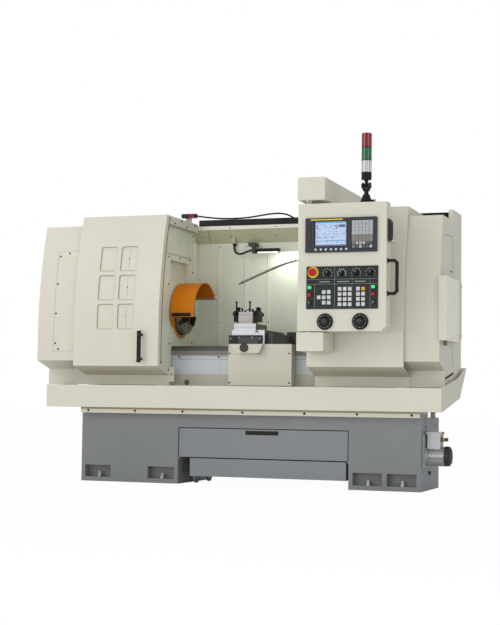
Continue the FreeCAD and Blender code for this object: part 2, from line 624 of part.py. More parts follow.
def make_rear_guard():
    """The wall behind the work with its sloped header, seam covers, lamp bracket and gland."""
    inner = "(guard_back_y - sheet_wall)"
    left = "(head_wall_x + sheet_wall)"
    wall = block(left, "right_guard_b - sheet_wall", inner, "guard_back_y", "back_low", "wall_top")
    header = pad("yz", left, f"rail_right - {left}", [
        (inner, "beam_z"), ("beam_y", "strip_low"), ("beam_y", "wall_top"), (inner, "wall_top"),
        (inner, "wall_top - sheet_wall"), ("beam_y + sheet_wall", "wall_top - sheet_wall"),
        ("beam_y + sheet_wall", "strip_low + sheet_wall / 2"), (inner, "beam_z + 2 * sheet_wall"),
    ])
    seams = [block(x, f"{x} + seam_wide", f"{inner} - 2", inner, "corner_low + 10", "beam_z")
             for x in ("-330", "-150", "-2", "520", "820")]
    arm = block("lamp_x - 48", "lamp_x - 4", "lamp_y - 15", inner, "lamp_z + 30", "lamp_z + 52")
    ear = block("lamp_x - 24", "lamp_x - 4", "lamp_y - 12", "lamp_y + 12", "lamp_z - 15", "lamp_z + 31")
    stub_hole = rod("x", "lamp_x - 12", "9", ("lamp_y", "lamp_z"), "5 + shaft_fit")
    gland = rod("z", "beam_z - 12", "50", ("-219", f"{inner} - 19"), "10")
    keep(union(wall, header, arm, minus(ear, stub_hole), gland, *seams), "rear_guard")


def make_top_rail():
    """The rail that guides the doors' tops, with the interlock cable's gland on it."""
    rail = block("rail_left", "rail_right", "rail_low_y", "guard_back_y - 8", "wall_top", "wall_top + rail_high")
    gland = rod("x", "gland_x", "28", ("guard_back_y - 2", "wall_top + 17"), "9")
    keep(union(rail, gland), "top_rail")


def make_right_guard():
    """The fixed cover at the right end, with the post that the rail ends at."""
    args = ("cover_inset", "cover_low", "cover_under", "cover_skirt", "cover_top", "guard_back_y - sheet_wall")
    sheet_part = pad("yz", "right_guard_a", "right_guard_b - right_guard_a - sheet_wall",
                     skin_section(*args[:5], "(beam_y + 9)", False))
    end = pad("yz", "right_guard_b - sheet_wall", "sheet_wall", end_section(*args))
    column = minus(
        block("rail_right", "right_guard_b", "column_front", "guard_back_y - sheet_wall", "cover_top - 1",
              "column_top"),
        block("rail_right + 3", "right_guard_b - 3", "column_front + 3", "guard_back_y - sheet_wall - 3",
              "cover_top - 2", "column_top - 3"))
    keep(union(sheet_part, end, column), "right_guard")


def make_chip_wall():
    """The low wall under the bed, with the rail that the doors slide on in front of it."""
    face = "(bed_front + 1)"
    floor = "(pan_mid_z - 26)"
    wall = block("head_wall_x + sheet_wall", "bed_right", face, f"{face} + sheet_wall", floor, "bed_low + 46")
    slope = "(pan_mid_z - pan_low) / (pan_mid_y - pan_front - pan_flat)"
    foot = f"(pan_low + pan_wall + (skirt_y + 8 - pan_front - pan_flat) * {slope} + slide_gap)"
    rail = block("pan_left + 40", "pan_right - 60", "skirt_y", "skirt_y + 8", foot, "skirt_low - 8")
    shelf = block("pan_left + 40", "pan_right - 60", "skirt_y", f"{face} + sheet_wall", floor, f"{floor} + 6")
    plug = turned("y", ("-371", "bed_low - 4"), [
        (f"{face} - 4", "0"), (f"{face} - 4", "13"), (f"{face} - 2", "16"), (face, "16"), (face, "0"),
    ])
    keep(union(wall, rail, shelf, plug), "chip_wall")


def sliding_door(left, right, inner_left):
    """A door: a folded curved sheet, a deep return on its closing edge and a shallow one outside."""
    section = ("0", "door_low", "door_under", "skirt_y", "door_top")
    back = "(rail_low_y - 4)"
    skin = pad("yz", left, f"{right} - ({left})", skin_section(*section, back, False))
    deep = "door_return"
    inner = left if inner_left else f"{right} - sheet_wall"
    outer = f"{right} - sheet_wall" if inner_left else left
    edge = pad("yz", inner, "sheet_wall", return_section(deep))
    shallow = pad("yz", outer, "sheet_wall", return_section("cover_inset - 8"))
    low, high = "(cover_top + 3)", "(door_top - 1)"
    roof_ends = [pad("yz", x, "sheet_wall", [
        (lean_y("2", low), low), (lean_y("2", high), high), (back, high), (back, low)]) for x in (inner, outer)]
    shoes = [block(x, f"{x} + 60", "skirt_y + 1", "skirt_y + 5", "skirt_low - 8 + slide_gap", "skirt_low + 20")
             for x in (f"{left} + 20", f"{right} - 80")]
    return union(skin, edge, shallow, *roof_ends, *shoes)


def panel_windows(grow):
    """Six upright rounded windows through the door, in two columns and three rows."""
    tools = []
    for column in range(2):
        for line in range(3):
            x = f"(panel_left + {column} * (panel_wide + panel_gap + 3))"
            z = f"(panel_low_z + {line} * (panel_high + panel_gap))"
            tool = block(f"{x} - ({grow})", f"{x} + panel_wide + ({grow})", "door_front - 5", "door_front + 160",
                         f"{z} - ({grow})", f"{z} + panel_high + ({grow})")
            tools.append(rounded(tool, f"panel_round + {grow}", along("y")))
    return tools


def curved_slab(left, right, inset_a, inset_b):
    """The space between two set-in copies of the doors' curved front."""
    return pad("yz", left, f"({right}) - ({left})", [
        (f"door_front + {inset_a}", "door_low + 20"), (f"door_front + {inset_a}", "arc_foot", f"-({ARC} - ({inset_a}))"),
        (lean_y(inset_a, "door_top - 20"), "door_top - 20"),
        (lean_y(inset_b, "door_top - 20"), "door_top - 20", f"{ARC} - ({inset_b})"),
        (f"door_front + {inset_b}", "arc_foot"), (f"door_front + {inset_b}", "door_low + 20"),
    ])


def make_doors():
    door = sliding_door("door_left_a", "door_left_b", False)
    right = "panel_left + 2 * panel_wide + panel_gap + 10"
    backing = overlap(curved_slab("panel_left - 10", right, "1", "panel_deep + sheet_wall"),
                      union(*panel_windows("sheet_wall")))
    hollow = overlap(curved_slab("panel_left - 10", right, "-2", "panel_deep"), union(*panel_windows("0")))
    foot = pad("yz", "door_left_b - sheet_wall", "sheet_wall", [
        ("door_front + 1", "door_low + 1"), ("door_front + 1", "door_low + 58"), ("skirt_y + 10", "door_under + 49"),
        ("skirt_y + 10", "skirt_low + 21"), ("skirt_y + 1", "skirt_low + 21"), ("skirt_y + 1", "door_under + 1"),
    ])
    flange = block("door_left_b - 1", "door_left_b + 31", "skirt_y + 3.6", "skirt_y + 6.6", "skirt_low + 21",
                   "door_under + 49")
    keep(minus(union(door, backing, foot, flange), hollow), "left_door")
    keep(sliding_door("door_right_a", "door_right_b", True), "right_door")


def make_door_handle():
    """A square bar on two stand-offs."""
    front = "(door_front - handle_proud)"
    bar = block("handle_x - handle_bar / 2", "handle_x + handle_bar / 2", front, f"{front} + 14",
                "handle_low", "handle_high")
    bar = rounded(bar, "5", along("z"))
    feet = [rod("y", f"{front} + 10", "handle_proud - 10", ("handle_x", z), "8")
            for z in ("handle_low + 22", "handle_high - 22")]
    keep(union(bar, *feet), "left_door_handle")


# ---------------------------------------------------------------- cabinet and side box

def make_cabinet():
    shell = minus(block("cabinet_left", "cabinet_right", "guard_back_y", "cabinet_back", "cabinet_low", "cabinet_top"),
                  block("cabinet_left + 3", "cabinet_right - 3", "guard_back_y + 4", "cabinet_back - 22",
                        "cabinet_low + 3", "cabinet_top - 3"))
    doors = [block(a, b, "cabinet_back", "cabinet_back + 4", "cabinet_low + 24", "cabinet_top - 24")
             for a, b in (("cabinet_left + 20", "(cabinet_left + cabinet_right) / 2 - 2"),
                          ("(cabinet_left + cabinet_right) / 2 + 2", "cabinet_right - 20"))]
    vents = [block("cabinet_left + 90", "cabinet_left + 290", "cabinet_back - 1", "cabinet_back + 5",
                   f"cabinet_low + 120 + {i * 22}", f"cabinet_low + 128 + {i * 22}") for i in range(8)]
    keep(minus(union(shell, *doors), *vents), "electrical_cabinet")


def make_side_box():
    body = block("right_guard_b", "right_end", "box_front", "box_back", "box_low", "box_high")
    body = rounded(body, "4", lambda a, b: along("z")(a, b) and a.x > value("right_end") - 1)
    seam = block("right_end - 1.5", "right_end + 1", "box_front + 18", "box_front + 20", "box_low + 14", "box_high - 14")
    gland = rod("z", "box_low - 26", "26", ("(right_guard_b + right_end) / 2", "box_front + 70"), "11")
    rear = block("right_guard_b", "right_end - 8", "box_back", "box_back + 120", "box_low + 25", "box_high - 5")
    keep(union(minus(body, seam), gland, rear), "side_box")


# ---------------------------------------------------------------- arm and pendant

def make_overhead_arm():
    """The fixed arm over the doors, its post behind the pendant and the block under it."""
    arm = block("arm_left", "arm_right", "arm_front", "arm_back", "arm_low", "arm_high")
    arm = rounded(arm, "6", lambda a, b: along("y")(a, b) or along("x")(a, b) and a.y < value("arm_front") + 1)
    rail_gap = block("arm_left - 1", "arm_right + 1", "rail_low_y - 1", "arm_back + 1", "arm_low - 1",
                     "wall_top + rail_high + 1")
    post = block("arm_left + 2", "arm_right - 2", "post_front", "post_back", "block_low", "arm_low + 4")
    foot = block("arm_left + 2", "arm_right - 2", "arm_front", "post_front + 2", "block_low", "block_high")
    pins = [rod("z", z, long, ("pin_x", "arm_front + pendant_deep / 2"), "pin_radius")
            for z, long in (("block_high - 1", "pendant_low - block_high + 26"),
                            ("pendant_high - 25", "arm_low - pendant_high + 26"))]
    foot_pad = block("arm_left + 10", "arm_right - 10", "guard_back_y - 7", "arm_back - 2", "wall_top",
                     "wall_top + rail_high + 5")
    keep(union(minus(arm, rail_gap), foot_pad, post, foot, *pins), "overhead_arm")


def make_pendant_box():
    front, back = "arm_front", "arm_front + pendant_deep"
    shape = pad("xz", back, "pendant_deep", [
        ("pendant_left", "pendant_low"), ("pendant_right - chamfer_run", "pendant_low"),
        ("pendant_right", "pendant_low + chamfer_run"), ("pendant_right", "pendant_high"),
        ("pendant_left", "pendant_high"),
    ])
    spot = ("pin_x", "arm_front + pendant_deep / 2")
    bores = [rod("z", z, "28", spot, "pin_radius + shaft_fit") for z in ("pendant_low - 1", "pendant_high - 26")]
    inside = block("pendant_left + 90", "pendant_right - 12", "arm_front + 12", "arm_front + pendant_deep - 4",
                   "pendant_low + 40", "pendant_high - 12")
    port = block("pendant_right", "pendant_right + 6", "arm_front + 18", "arm_front + 74", "1368", "1480")
    latch = rod("x", "pendant_right + 6", "7", ("arm_front + 66", "1382"), "6")
    keep(union(minus(shape, inside, *bores), port, latch), "pendant_box")


def make_display_unit():
    """The display's bezel with its sunk screen, softkeys, card slot and raised key field."""
    face = "(arm_front - display_proud)"
    bezel = block("display_left", "display_left + display_wide", face, "arm_front", "display_low", "display_high")
    bezel = rounded(bezel, "4", along("y"))
    screen = block("screen_left", "screen_right", f"{face} - 1", f"{face} + 5", "screen_low", "screen_high")
    pieces = []
    for i in range(7):
        x = f"screen_left + 8 + {i} * (screen_right - screen_left - 16) / 6"
        pieces.append(rod("y", f"{face} - 2.5", "3.5", (x, "display_low + 16"), "6.5"))
    pieces.append(block("display_left + 8", "display_left + 34", f"{face} - 2", f"{face} + 1", "screen_low + 10", "screen_high - 14"))
    cap = "((pad_right - pad_left) / 6)"
    rise = "((pad_high - pad_low) / 8)"
    for column in range(6):
        for line in range(8):
            x, z = f"pad_left + {column} * {cap}", f"pad_low + {line} * {rise}"
            pieces.append(block(f"{x} + 2", f"{x} + {cap} - 2", f"{face} - 2.5", f"{face} + 1", f"{z} + 2", f"{z} + {rise} - 2"))
    keep(union(minus(bezel, screen), *pieces), "display_unit")


def key_places():
    """The middles of the square keys on the operator panel."""
    spots = []
    pitch = 28.5
    for x, z in ((0, 3), (1, 3), (-1, 2), (0, 2), (1, 2), (0, 1), (1, 1)):
        spots.append((f"592 + 35 + {x * pitch}", f"1001 + {z * 29}"))
    for column in range(3):
        spots += [(f"717 + {column * pitch}", f"1020 + {line * 28}") for line in range(4)]
    for column in range(2):
        spots += [(f"820 + {column * pitch}", f"1020 + {line * 28}") for line in range(4)]
    return spots


def make_operator_panel():
    """The panel plate with its key caps, push buttons, key switches, tick rings and sockets."""
    face = "(arm_front - panel_proud)"
    plate = block("panel_x", "panel_x + panel_w", face, "arm_front", "panel_z", "panel_z + panel_h")
    pieces = [rounded(plate, "3", along("y"))]
    for x, z in key_places():
        pieces.append(block(f"{x} - key_size / 2", f"{x} + key_size / 2", f"{face} - key_proud", f"{face} + 1",
                            f"{z} - key_size / 2", f"{z} + key_size / 2"))
    for x in ("547", "905"):
        for z in ("1113", "1074"):
            pieces.append(rod("y", f"{face} - 6", "7", (x, z), "11"))
            pieces.append(rod("y", f"{face} - 12", "7", (x, z), "8.5"))
        pieces.append(rod("y", f"{face} - 8", "9", (x, "1030"), "10"))
        pieces.append(block(f"{x} - 2", f"{x} + 2", f"{face} - 24", f"{face} - 7", "1021", "1039"))
    for i in range(2):
        pieces.append(rod("y", f"{face} - 4", "4 + panel_proud", (f"wheel_first + {i} * wheel_pitch", "wheel_z"), "wheel_radius + 4"))
    pieces.append(rod("y", f"{face} - 4", "5", ("stop_x", "stop_z"), "31"))
    spots = [("stop_x", "stop_z", "9")] + [(f"knob_first + {i} * knob_pitch", "knob_z", "5") for i in range(4)]
    spots += [(f"wheel_first + {i} * wheel_pitch", "wheel_z", "8") for i in range(2)]
    holes = [rod("y", f"{face} - 6", "panel_proud + 5", (x, z), f"{r} + shaft_fit") for x, z, r in spots]
    keep(minus(union(*pieces), *holes), "operator_panel")


def make_controls():
    """The stop button, four rotary switches and two hand wheels, each on its own stem."""
    face = "(arm_front - panel_proud)"
    stop = turned("y", ("stop_x", "stop_z"), [
        (f"{face} - 1", "0"), (f"{face} - 1", "9"), (f"{face} - 12", "9"), (f"{face} - 14", "stop_radius"),
        (f"{face} - 24", "stop_radius"), (f"{face} - 31", "stop_radius - 7"), (f"{face} - 31", "0"),
    ])
    keep(stop, "e_stop")
    for i in range(4):
        x = f"knob_first + {i} * knob_pitch"
        knob = turned("y", (x, "knob_z"), [
            (f"{face} + 3", "0"), (f"{face} + 3", "5"), (f"{face} - 1", "5"), (f"{face} - 1", "knob_radius"),
            (f"{face} - 6", "knob_radius"), (f"{face} - knob_tall", "knob_radius - 3"), (f"{face} - knob_tall", "0"),
        ])
        bar = block(f"{x} - 3", f"{x} + 3", f"{face} - knob_tall - 3", f"{face} - 8", "knob_z - 12", "knob_z + 12")
        keep(union(knob, bar), "mode_knob_%d" % (i + 1))
    for i in range(2):
        x = f"wheel_first + {i} * wheel_pitch"
        wheel = turned("y", (x, "wheel_z"), [
            (f"{face} + 3", "0"), (f"{face} + 3", "8"), (f"{face} - 5", "8"), (f"{face} - 5", "wheel_radius"),
            (f"{face} - 12", "wheel_radius"), (f"{face} - 14", "wheel_radius - 10"),
            (f"{face} - 20", "wheel_radius - 14"), (f"{face} - 20", "0"),
        ])
        grip = rod("y", f"{face} - wheel_tall", "20", (x, "wheel_z + wheel_radius - 14"), "7")
        keep(union(wheel, grip), "hand_wheel_%d" % (i + 1))


def make_pendant_handle():
    """A D-shaped grip on the pendant's side."""
    y = "(arm_front + 30)"
    out = "(pendant_right + grip_proud)"
    shape = pad("xz", f"{y} + grip_bar / 2", "grip_bar", [
        ("pendant_right", "grip_low"), (f"{out} - 18", "grip_low"), (out, "grip_low + 18"), (out, "grip_high - 18"),
        (f"{out} - 18", "grip_high"), ("pendant_right", "grip_high"), ("pendant_right", "grip_high - grip_bar"),
        (f"{out} - 24", "grip_high - grip_bar"), (f"{out} - grip_bar", "grip_high - 24"),
        (f"{out} - grip_bar", "grip_low + 24"), (f"{out} - 24", "grip_low + grip_bar"),
        ("pendant_right", "grip_low + grip_bar"),
    ])
    keep(shape, "pendant_handle")


# ---------------------------------------------------------------- signal tower

def make_tower():
    spot = ("tower_x", "tower_y")
    base = turned("z", spot, [
        ("pendant_high", "0"), ("pendant_high", "base_radius"), ("pendant_high + 5", "base_radius"),
        ("pendant_high + 34", "14"), ("knuckle_z - 20", "11"), ("knuckle_z - 20", "0"),
    ])
    ears = [block("tower_x + " + a, "tower_x + " + b, "tower_y - 11", "tower_y + 11", "knuckle_z - 22", "knuckle_z + 12")
            for a, b in (("-18", "-10"), ("10", "18"))]
    foot = block("tower_x - 18", "tower_x + 18", "tower_y - 11", "tower_y + 11", "knuckle_z - 30", "knuckle_z - 20")
    pin = rod("x", "tower_x - 18", "36", ("tower_y", "knuckle_z"), "5")
    lock = rod("x", "tower_x + base_radius - 6", "20", ("tower_y", "pendant_high + 12"), "7")
    keep(union(base, *ears, foot, pin, lock), "tower_base")
    neck = turned("z", spot, [
        ("knuckle_z - 12", "0"), ("knuckle_z - 12", "8"), ("knuckle_z + 16", "9.5"), ("collar_z", "12"),
        ("collar_z", "tower_radius"), ("white_z", "tower_radius"), ("white_z", "0"),
    ])
    bore = rod("x", "tower_x - 30", "60", ("tower_y", "knuckle_z"), "5 + shaft_fit")
    trim = [block(f"tower_x {s} 9.7", f"tower_x {s} 40", "tower_y - 40", "tower_y + 40", "knuckle_z - 16", "knuckle_z + 14")
            if s == "+" else block("tower_x - 40", "tower_x - 9.7", "tower_y - 40", "tower_y + 40", "knuckle_z - 16", "knuckle_z + 14")
            for s in "+-"]
    keep(minus(neck, bore, *trim), "tower_collar")
    for low, high, name in (("white_z", "green_z", "lens_white"), ("green_z", "red_z", "lens_green"),
                            ("red_z", "tower_top", "lens_red")):
        lens = turned("z", spot, [
            (low, "0"), (low, "tower_radius - 1"), (f"{low} + 2", "tower_radius"), (f"{high} - 3", "tower_radius"),
            (f"{high} - 3", "tower_radius - 2"), (high, "tower_radius - 2"), (high, "0"),
        ])
        keep(lens, name)


# ---------------------------------------------------------------- carriage

def make_saddle():
    """The saddle over both ways, its cross ways, front nose, side covers and the screw's nut."""
    gap = "slide_gap"
    vee_y = "(bed_front + way_lip + vee_wide / 2)"
    middle = "(slide_left + slide_right) / 2"
    long = "saddle_right - saddle_left"
    deck = pad("yz", "saddle_left", long, [
        ("saddle_front", "saddle_low"), ("saddle_front", "saddle_high"), ("saddle_back", "saddle_high"),
        ("saddle_back", "saddle_low"), (f"bed_back + {gap}", "saddle_low"), (f"bed_back + {gap}", f"bed_top + {gap}"),
        ("bed_front + way_lip + vee_wide", f"bed_top + {gap}"), (vee_y, f"bed_top + vee_high + {gap}"),
        ("bed_front + way_lip", f"bed_top + {gap}"), ("bed_front - apron_gap", f"bed_top + {gap}"),
        ("bed_front - apron_gap", "saddle_low"),
    ])
    ways = pad("xz", "way_back", "way_back - saddle_front", [
        (f"{middle} - way_neck", "saddle_high"), (f"{middle} + way_neck", "saddle_high"),
        (f"{middle} + way_half", "cross_ways"), (f"{middle} - way_half", "cross_ways"),
    ])
    nose = pad("xz", "saddle_front", "nose_deep", [
        ("nose_left", "saddle_high - 1"), ("nose_left + 45", "saddle_low - 4"), ("nose_right - 23", "saddle_low - 4"),
        ("nose_right", "saddle_high - 1"),
    ])
    cap = rod("y", "saddle_front - nose_deep - 8", "10", ("nose_left + 91", "saddle_high - 23"), "22")
    side = block("slide_right + 3", "slide_right + 38", "saddle_front + 42", "way_back", "saddle_high - 1",
                 "side_cover_top")
    rear = block("slide_right + 8", "slide_right + 66", "way_back - 60", "way_back", "saddle_high - 1",
                 "rear_cover_top")
    nut = block("120", "180", "axis_y - 40", "axis_y + 40", "screw_z - 26", "bed_top + 4")
    bore = rod("x", "110", "80", ("screw_y", "screw_z"), "screw_radius + shaft_fit")
    keep(union(deck, ways, nose, cap, side, rear, minus(nut, bore)), "saddle")


def make_apron():
    """The box on the saddle's front, open to the bed and at its top."""
    front, back = "saddle_front", "bed_front - apron_gap"
    keep(minus(
        block("saddle_left", "saddle_right", front, back, "apron_low", "saddle_low"),
        block("saddle_left + 3", "saddle_right - 3", f"{front} + 3", f"{back} + 1", "apron_low + 3", "saddle_low + 1"),
    ), "apron")


def make_cross_slide():
    """The slide with its gib sides, the plate on it and the wiper at its front end."""
    middle = "(slide_left + slide_right) / 2"
    gap = "slide_gap"
    dovetail = [
        (f"{middle} - way_neck - {gap}", f"saddle_high + {gap}"), (f"{middle} - way_half - {gap}", f"cross_ways + {gap}"),
        (f"{middle} + way_half + {gap}", f"cross_ways + {gap}"), (f"{middle} + way_neck + {gap}", f"saddle_high + {gap}"),
    ]
    slide = pad("xz", "slide_back", "slide_back - saddle_front", [
        ("slide_left", "slide_high"), ("slide_left", f"saddle_high + {gap}"), *dovetail,
        ("slide_right", f"saddle_high + {gap}"), ("slide_right", "slide_high"),
    ])
    plate = block("plate_left", "plate_right", "plate_front", "plate_back", "slide_high", "plate_high")
    slot = pad("xz", "slide_back + 1", "slide_back - saddle_front + 2", [
        ("slot_x - 6", "slide_high + 1"), ("slot_x - 6", "slide_high - 8"), ("slot_x - 12", "slide_high - 8"),
        ("slot_x - 12", "slide_high - 15"), ("slot_x + 12", "slide_high - 15"), ("slot_x + 12", "slide_high - 8"),
        ("slot_x + 6", "slide_high - 8"), ("slot_x + 6", "slide_high + 1"),
    ])
    wiper = minus(
        block("slide_left - 16", "slide_right - 11", "saddle_front - 10", "saddle_front", f"saddle_high + {gap}",
              "wiper_high"),
        pad("xz", "saddle_front + 1", "12", [
            (f"{middle} - way_neck - {gap}", "saddle_high - 1"), *dovetail[1:3],
            (f"{middle} + way_neck + {gap}", "saddle_high - 1"),
        ]))
    keep(union(minus(slide, slot), plate, wiper), "cross_slide")


def make_tool_post():
    """A square quick-change post with a dovetail on two sides and a locking lever on top."""
    half = "post_size / 2"
    body = block("post_left", "post_right", f"post_y - {half}", f"post_y + {half}", "plate_high", "post_top")
    body = rounded(body, "6", along("z"))
    middle = "(post_left + post_right) / 2"
    stud = rod("z", "post_top - 1", "22", (middle, "post_y"), "11")
    arm = rod("y", "post_y", "52", (middle, "post_top + 12"), "5")
    knob = turned("y", (middle, "post_top + 12"), [
        ("post_y + 46", "0"), ("post_y + 46", "6"), ("post_y + 52", "11"), ("post_y + 62", "11"), ("post_y + 68", "6"),
        ("post_y + 68", "0"),
    ])
    bolt = rod("z", "post_top - 1", "64", ("post_right - 28", "post_y - 22"), "4.5")
    head = rod("z", "post_top + 53", "12", ("post_right - 28", "post_y - 22"), "7")
    keep(union(body, stud, arm, knob, bolt, head), "tool_post")


def make_tool_holders():
    """Two dovetailed holders, each with a square tool and its clamping screws."""
    pieces = []
    for side, x_a, x_b in ((-1, "post_left - holder_wide", "post_left"), (1, "post_right", "post_right + holder_wide")):
        y_a, y_b = "post_y - 40", "post_y + 40"
        holder = block(x_a, x_b, y_a, y_b, "plate_high + 12", "post_top + 6")
        slot = block(x_a if side < 0 else f"{x_b} - 24", f"{x_a} + 24" if side < 0 else x_b, f"{y_a} - 1",
                     f"{y_b} + 1", "axis_z - tool_size", "axis_z + 2")
        bar = block(f"{x_a} + 1" if side < 0 else f"{x_b} - 21", f"{x_a} + 21" if side < 0 else f"{x_b} - 1",
                    f"{y_a} - 20" if side < 0 else f"{y_a} + 6", f"{y_b} + 34", "axis_z - tool_size", "axis_z")
        pieces.append(union(minus(holder, slot), bar))
        heights = ("62", "30", "30") if side < 0 else ("24", "30", "24")
        for i, high in enumerate(heights):
            spot = (f"{x_a} + 12" if side < 0 else f"{x_b} - 12", f"post_y - 26 + {26 * i}")
            screw = rod("z", "post_top + 2", high, spot, "4.5")
            head = rod("z", f"post_top + 2 + {high} - 10", "10", spot, "7")
            pieces.append(union(screw, head))
    keep(union(*pieces), "tool_holders")


def make_z_screw():
    keep(rod("x", "screw_left", "screw_right - screw_left", ("screw_y", "screw_z"), "screw_radius"), "z_screw")


def make_z_drive():
    """The long screw's two bearing blocks between the bed's webs, and its motor."""
    bore = rod("x", "screw_left - 20", "screw_right - screw_left + 30", ("screw_y", "screw_z"), "screw_radius + shaft_fit")
    ends = [block(a, b, "bed_front + 8 + web_thick", "bed_back - 8 - web_thick", "screw_z - 30", "screw_z + 30")
            for a, b in (("screw_left - 12", "screw_left + 18"), ("screw_right - 26", "screw_right + 14"))]
    motor = rod("x", "screw_right + 14", "130", ("screw_y", "screw_z"), "34")
    keep(union(minus(union(*ends), bore), motor), "z_drive")


# ---------------------------------------------------------------- tailstock

def make_tailstock():
    gap = "slide_gap"
    vee_y = "(bed_front + way_lip + vee_wide / 2)"
    base = pad("yz", "tail_left", "tail_right - tail_left", [
        ("bed_front + 4", f"bed_top + {gap}"), ("bed_front + 4", "bed_top + 44"), ("tail_front - 12", "bed_top + 58"),
        ("tail_front", "bed_top + 90"), ("tail_front", "axis_z"), ("axis_y - 62", "tail_high - 16"),
        ("axis_y - 40", "tail_high"), ("axis_y + 40", "tail_high"), ("axis_y + 62", "tail_high - 16"),
        ("tail_back", "axis_z"), ("tail_back", "bed_top + 90"), ("tail_back + 12", "bed_top + 58"),
        ("bed_back - 4", "bed_top + 44"), ("bed_back - 4", f"bed_top + {gap}"),
        ("bed_front + way_lip + vee_wide", f"bed_top + {gap}"), (vee_y, f"bed_top + vee_high + {gap}"),
        ("bed_front + way_lip", f"bed_top + {gap}"),
    ])
    bore = rod("x", "tail_left - 1", "tail_right - tail_left - 20", ("axis_y", "axis_z"), "quill_radius + shaft_fit")
    back = rod("x", "tail_right - 30", "40", ("axis_y", "axis_z"), "10 + shaft_fit")
    lever = rod("z", "tail_high - 1", "50", ("tail_left + 50", "axis_y + 20"), "7")
    ball = turned("z", ("tail_left + 50", "axis_y + 20"), [
        ("tail_high + 44", "0"), ("tail_high + 44", "8"), ("tail_high + 52", "13"), ("tail_high + 64", "11"),
        ("tail_high + 68", "0"),
    ])
    keep(union(minus(base, bore, back), lever, ball), "tailstock")


def make_quill():
    """The tailstock's sleeve with a tapered socket in its nose."""
    keep(turned("x", ("axis_y", "axis_z"), [
        ("quill_out", "quill_bore"), ("quill_out", "quill_radius - 3"), ("quill_out + 3", "quill_radius"),
        ("tail_right - 40", "quill_radius"), ("tail_right - 40", "0"), ("quill_out + 120", "0"),
        ("quill_out + 110", "quill_bore - 3"),
    ]), "quill")


def make_tail_wheel():
    """A rimmed handwheel on a short shaft, with a hub, three spokes and a handle."""
    x = "tail_wheel_x"
    rim = turned("x", ("axis_y", "axis_z"), [
        (x, "tail_wheel - 16"), (x, "tail_wheel - 4"), (f"{x} + 4", "tail_wheel"), (f"{x} + 12", "tail_wheel"),
        (f"{x} + 16", "tail_wheel - 4"), (f"{x} + 16", "tail_wheel - 16"),
    ])
    shaft = rod("x", "tail_right - 24", f"{x} - tail_right + 40", ("axis_y", "axis_z"), "10")
    hub = rod("x", f"{x} - 8", "26", ("axis_y", "axis_z"), "22")
    spokes = [jaw_turn(block(f"{x} + 2", f"{x} + 12", "axis_y - 7", "axis_y + 7", "axis_z + 10", "axis_z + tail_wheel - 14"), n)
              for n in range(3)]
    handle = rod("x", f"{x} + 14", "46", ("axis_y", "axis_z + tail_wheel - 10"), "8")
    keep(union(rim, shaft, hub, *spokes, handle), "tail_handwheel")


# ---------------------------------------------------------------- drawer, tank and pump

def make_drawer():
    """The chip drawer: an open tray with a rolled front edge, and its pull under the lip."""
    front = "stand_front + 4"
    tray = minus(block("drawer_left", "drawer_right", front, "drawer_back", "drawer_low", "drawer_high"),
                 block("drawer_left + 3", "drawer_right - 3", f"{front} + 3", "drawer_back - 3", "drawer_low + 3", "drawer_high + 1"))
    lip = block("drawer_left", "drawer_right", f"{front} + 3", f"{front} + 18", "drawer_high - 3", "drawer_high")
    keep(union(tray, lip), "chip_drawer")


def make_tank():
    tank = minus(block("tank_left", "tank_right", "stand_front + 6", "drawer_back", "tank_low", "tank_high"),
                 block("tank_left + 3", "tank_right - 3", "stand_front + 9", "drawer_back - 3", "tank_low + 3", "tank_high + 1"))
    pieces = [tank]
    for y in ("-150", "60"):
        for x in ("tank_left - 20", "tank_right + 2"):
            pieces.append(rod("x", x, "12", (y, "caster_radius + 0.5"), "caster_radius"))
        pieces.append(rod("x", "tank_left - 10", "14", (y, "tank_low + 8"), "7"))
        pieces.append(rod("x", "tank_right - 3", "10", (y, "tank_low + 8"), "7"))
    keep(union(*pieces), "coolant_tank")


def make_pump():
    """The coolant pump's motor on a plate at the right pedestal's side."""
    spot = ("pump_y", "pump_z")
    plate = block("right_foot_b", "right_foot_b + 8", "pump_y - 72", "pump_y + 72", "pump_z - 64", "pump_z + 124")
    body = turned("x", spot, [
        ("right_foot_b + 8", "0"), ("right_foot_b + 8", "pump_radius + 4"), ("right_foot_b + 20", "pump_radius + 4"),
        ("right_foot_b + 24", "pump_radius - 4"), ("pump_end - 34", "pump_radius - 4"),
        ("pump_end - 32", "pump_radius"), ("pump_end - 8", "pump_radius - 2"), ("pump_end", "pump_radius - 14"),
        ("pump_end", "0"),
    ])
    fins = []
    for i in range(9):
        angle = 20 * i + 10
        turn = f"{angle} * 1deg"
        fins.append(rod("x", "right_foot_b + 24", "pump_end - right_foot_b - 58",
                        (f"pump_y - (pump_radius - 4) * cos({turn})", f"pump_z - (pump_radius - 4) * sin({turn})"), "3"))
    case = rounded(block("right_foot_b + 14", "right_foot_b + 92", "pump_y - 42", "pump_y + 42", "pump_z + 40", "pump_z + 122"),
                   "5", along("z"))
    lid = block("right_foot_b + 10", "right_foot_b + 96", "pump_y - 46", "pump_y + 46", "pump_z + 122", "pump_z + 134")
    glands = [rod("x", "right_foot_b + 91", "30", (f"pump_y - 20 + {40 * i}", "pump_z + 92"), "9") for i in range(2)]
    keep(union(plate, body, case, lid, *fins, *glands), "coolant_pump")


# ---------------------------------------------------------------- lamp, nozzle, interlock and cables

def make_work_lamp():
    """A tube lamp with two end caps, turning in its bracket on a short stub."""
    keep(turned("x", ("lamp_y", "lamp_z"), [
        ("lamp_x - 10", "0"), ("lamp_x - 10", "5"), ("lamp_x", "5"), ("lamp_x", "14"), ("lamp_x + 12", "14"),
        ("lamp_x + 12", "12"), ("lamp_x + lamp_long - 10", "12"), ("lamp_x + lamp_long - 10", "14"),
        ("lamp_x + lamp_long", "14"), ("lamp_x + lamp_long", "0"),
    ]), "work_lamp")


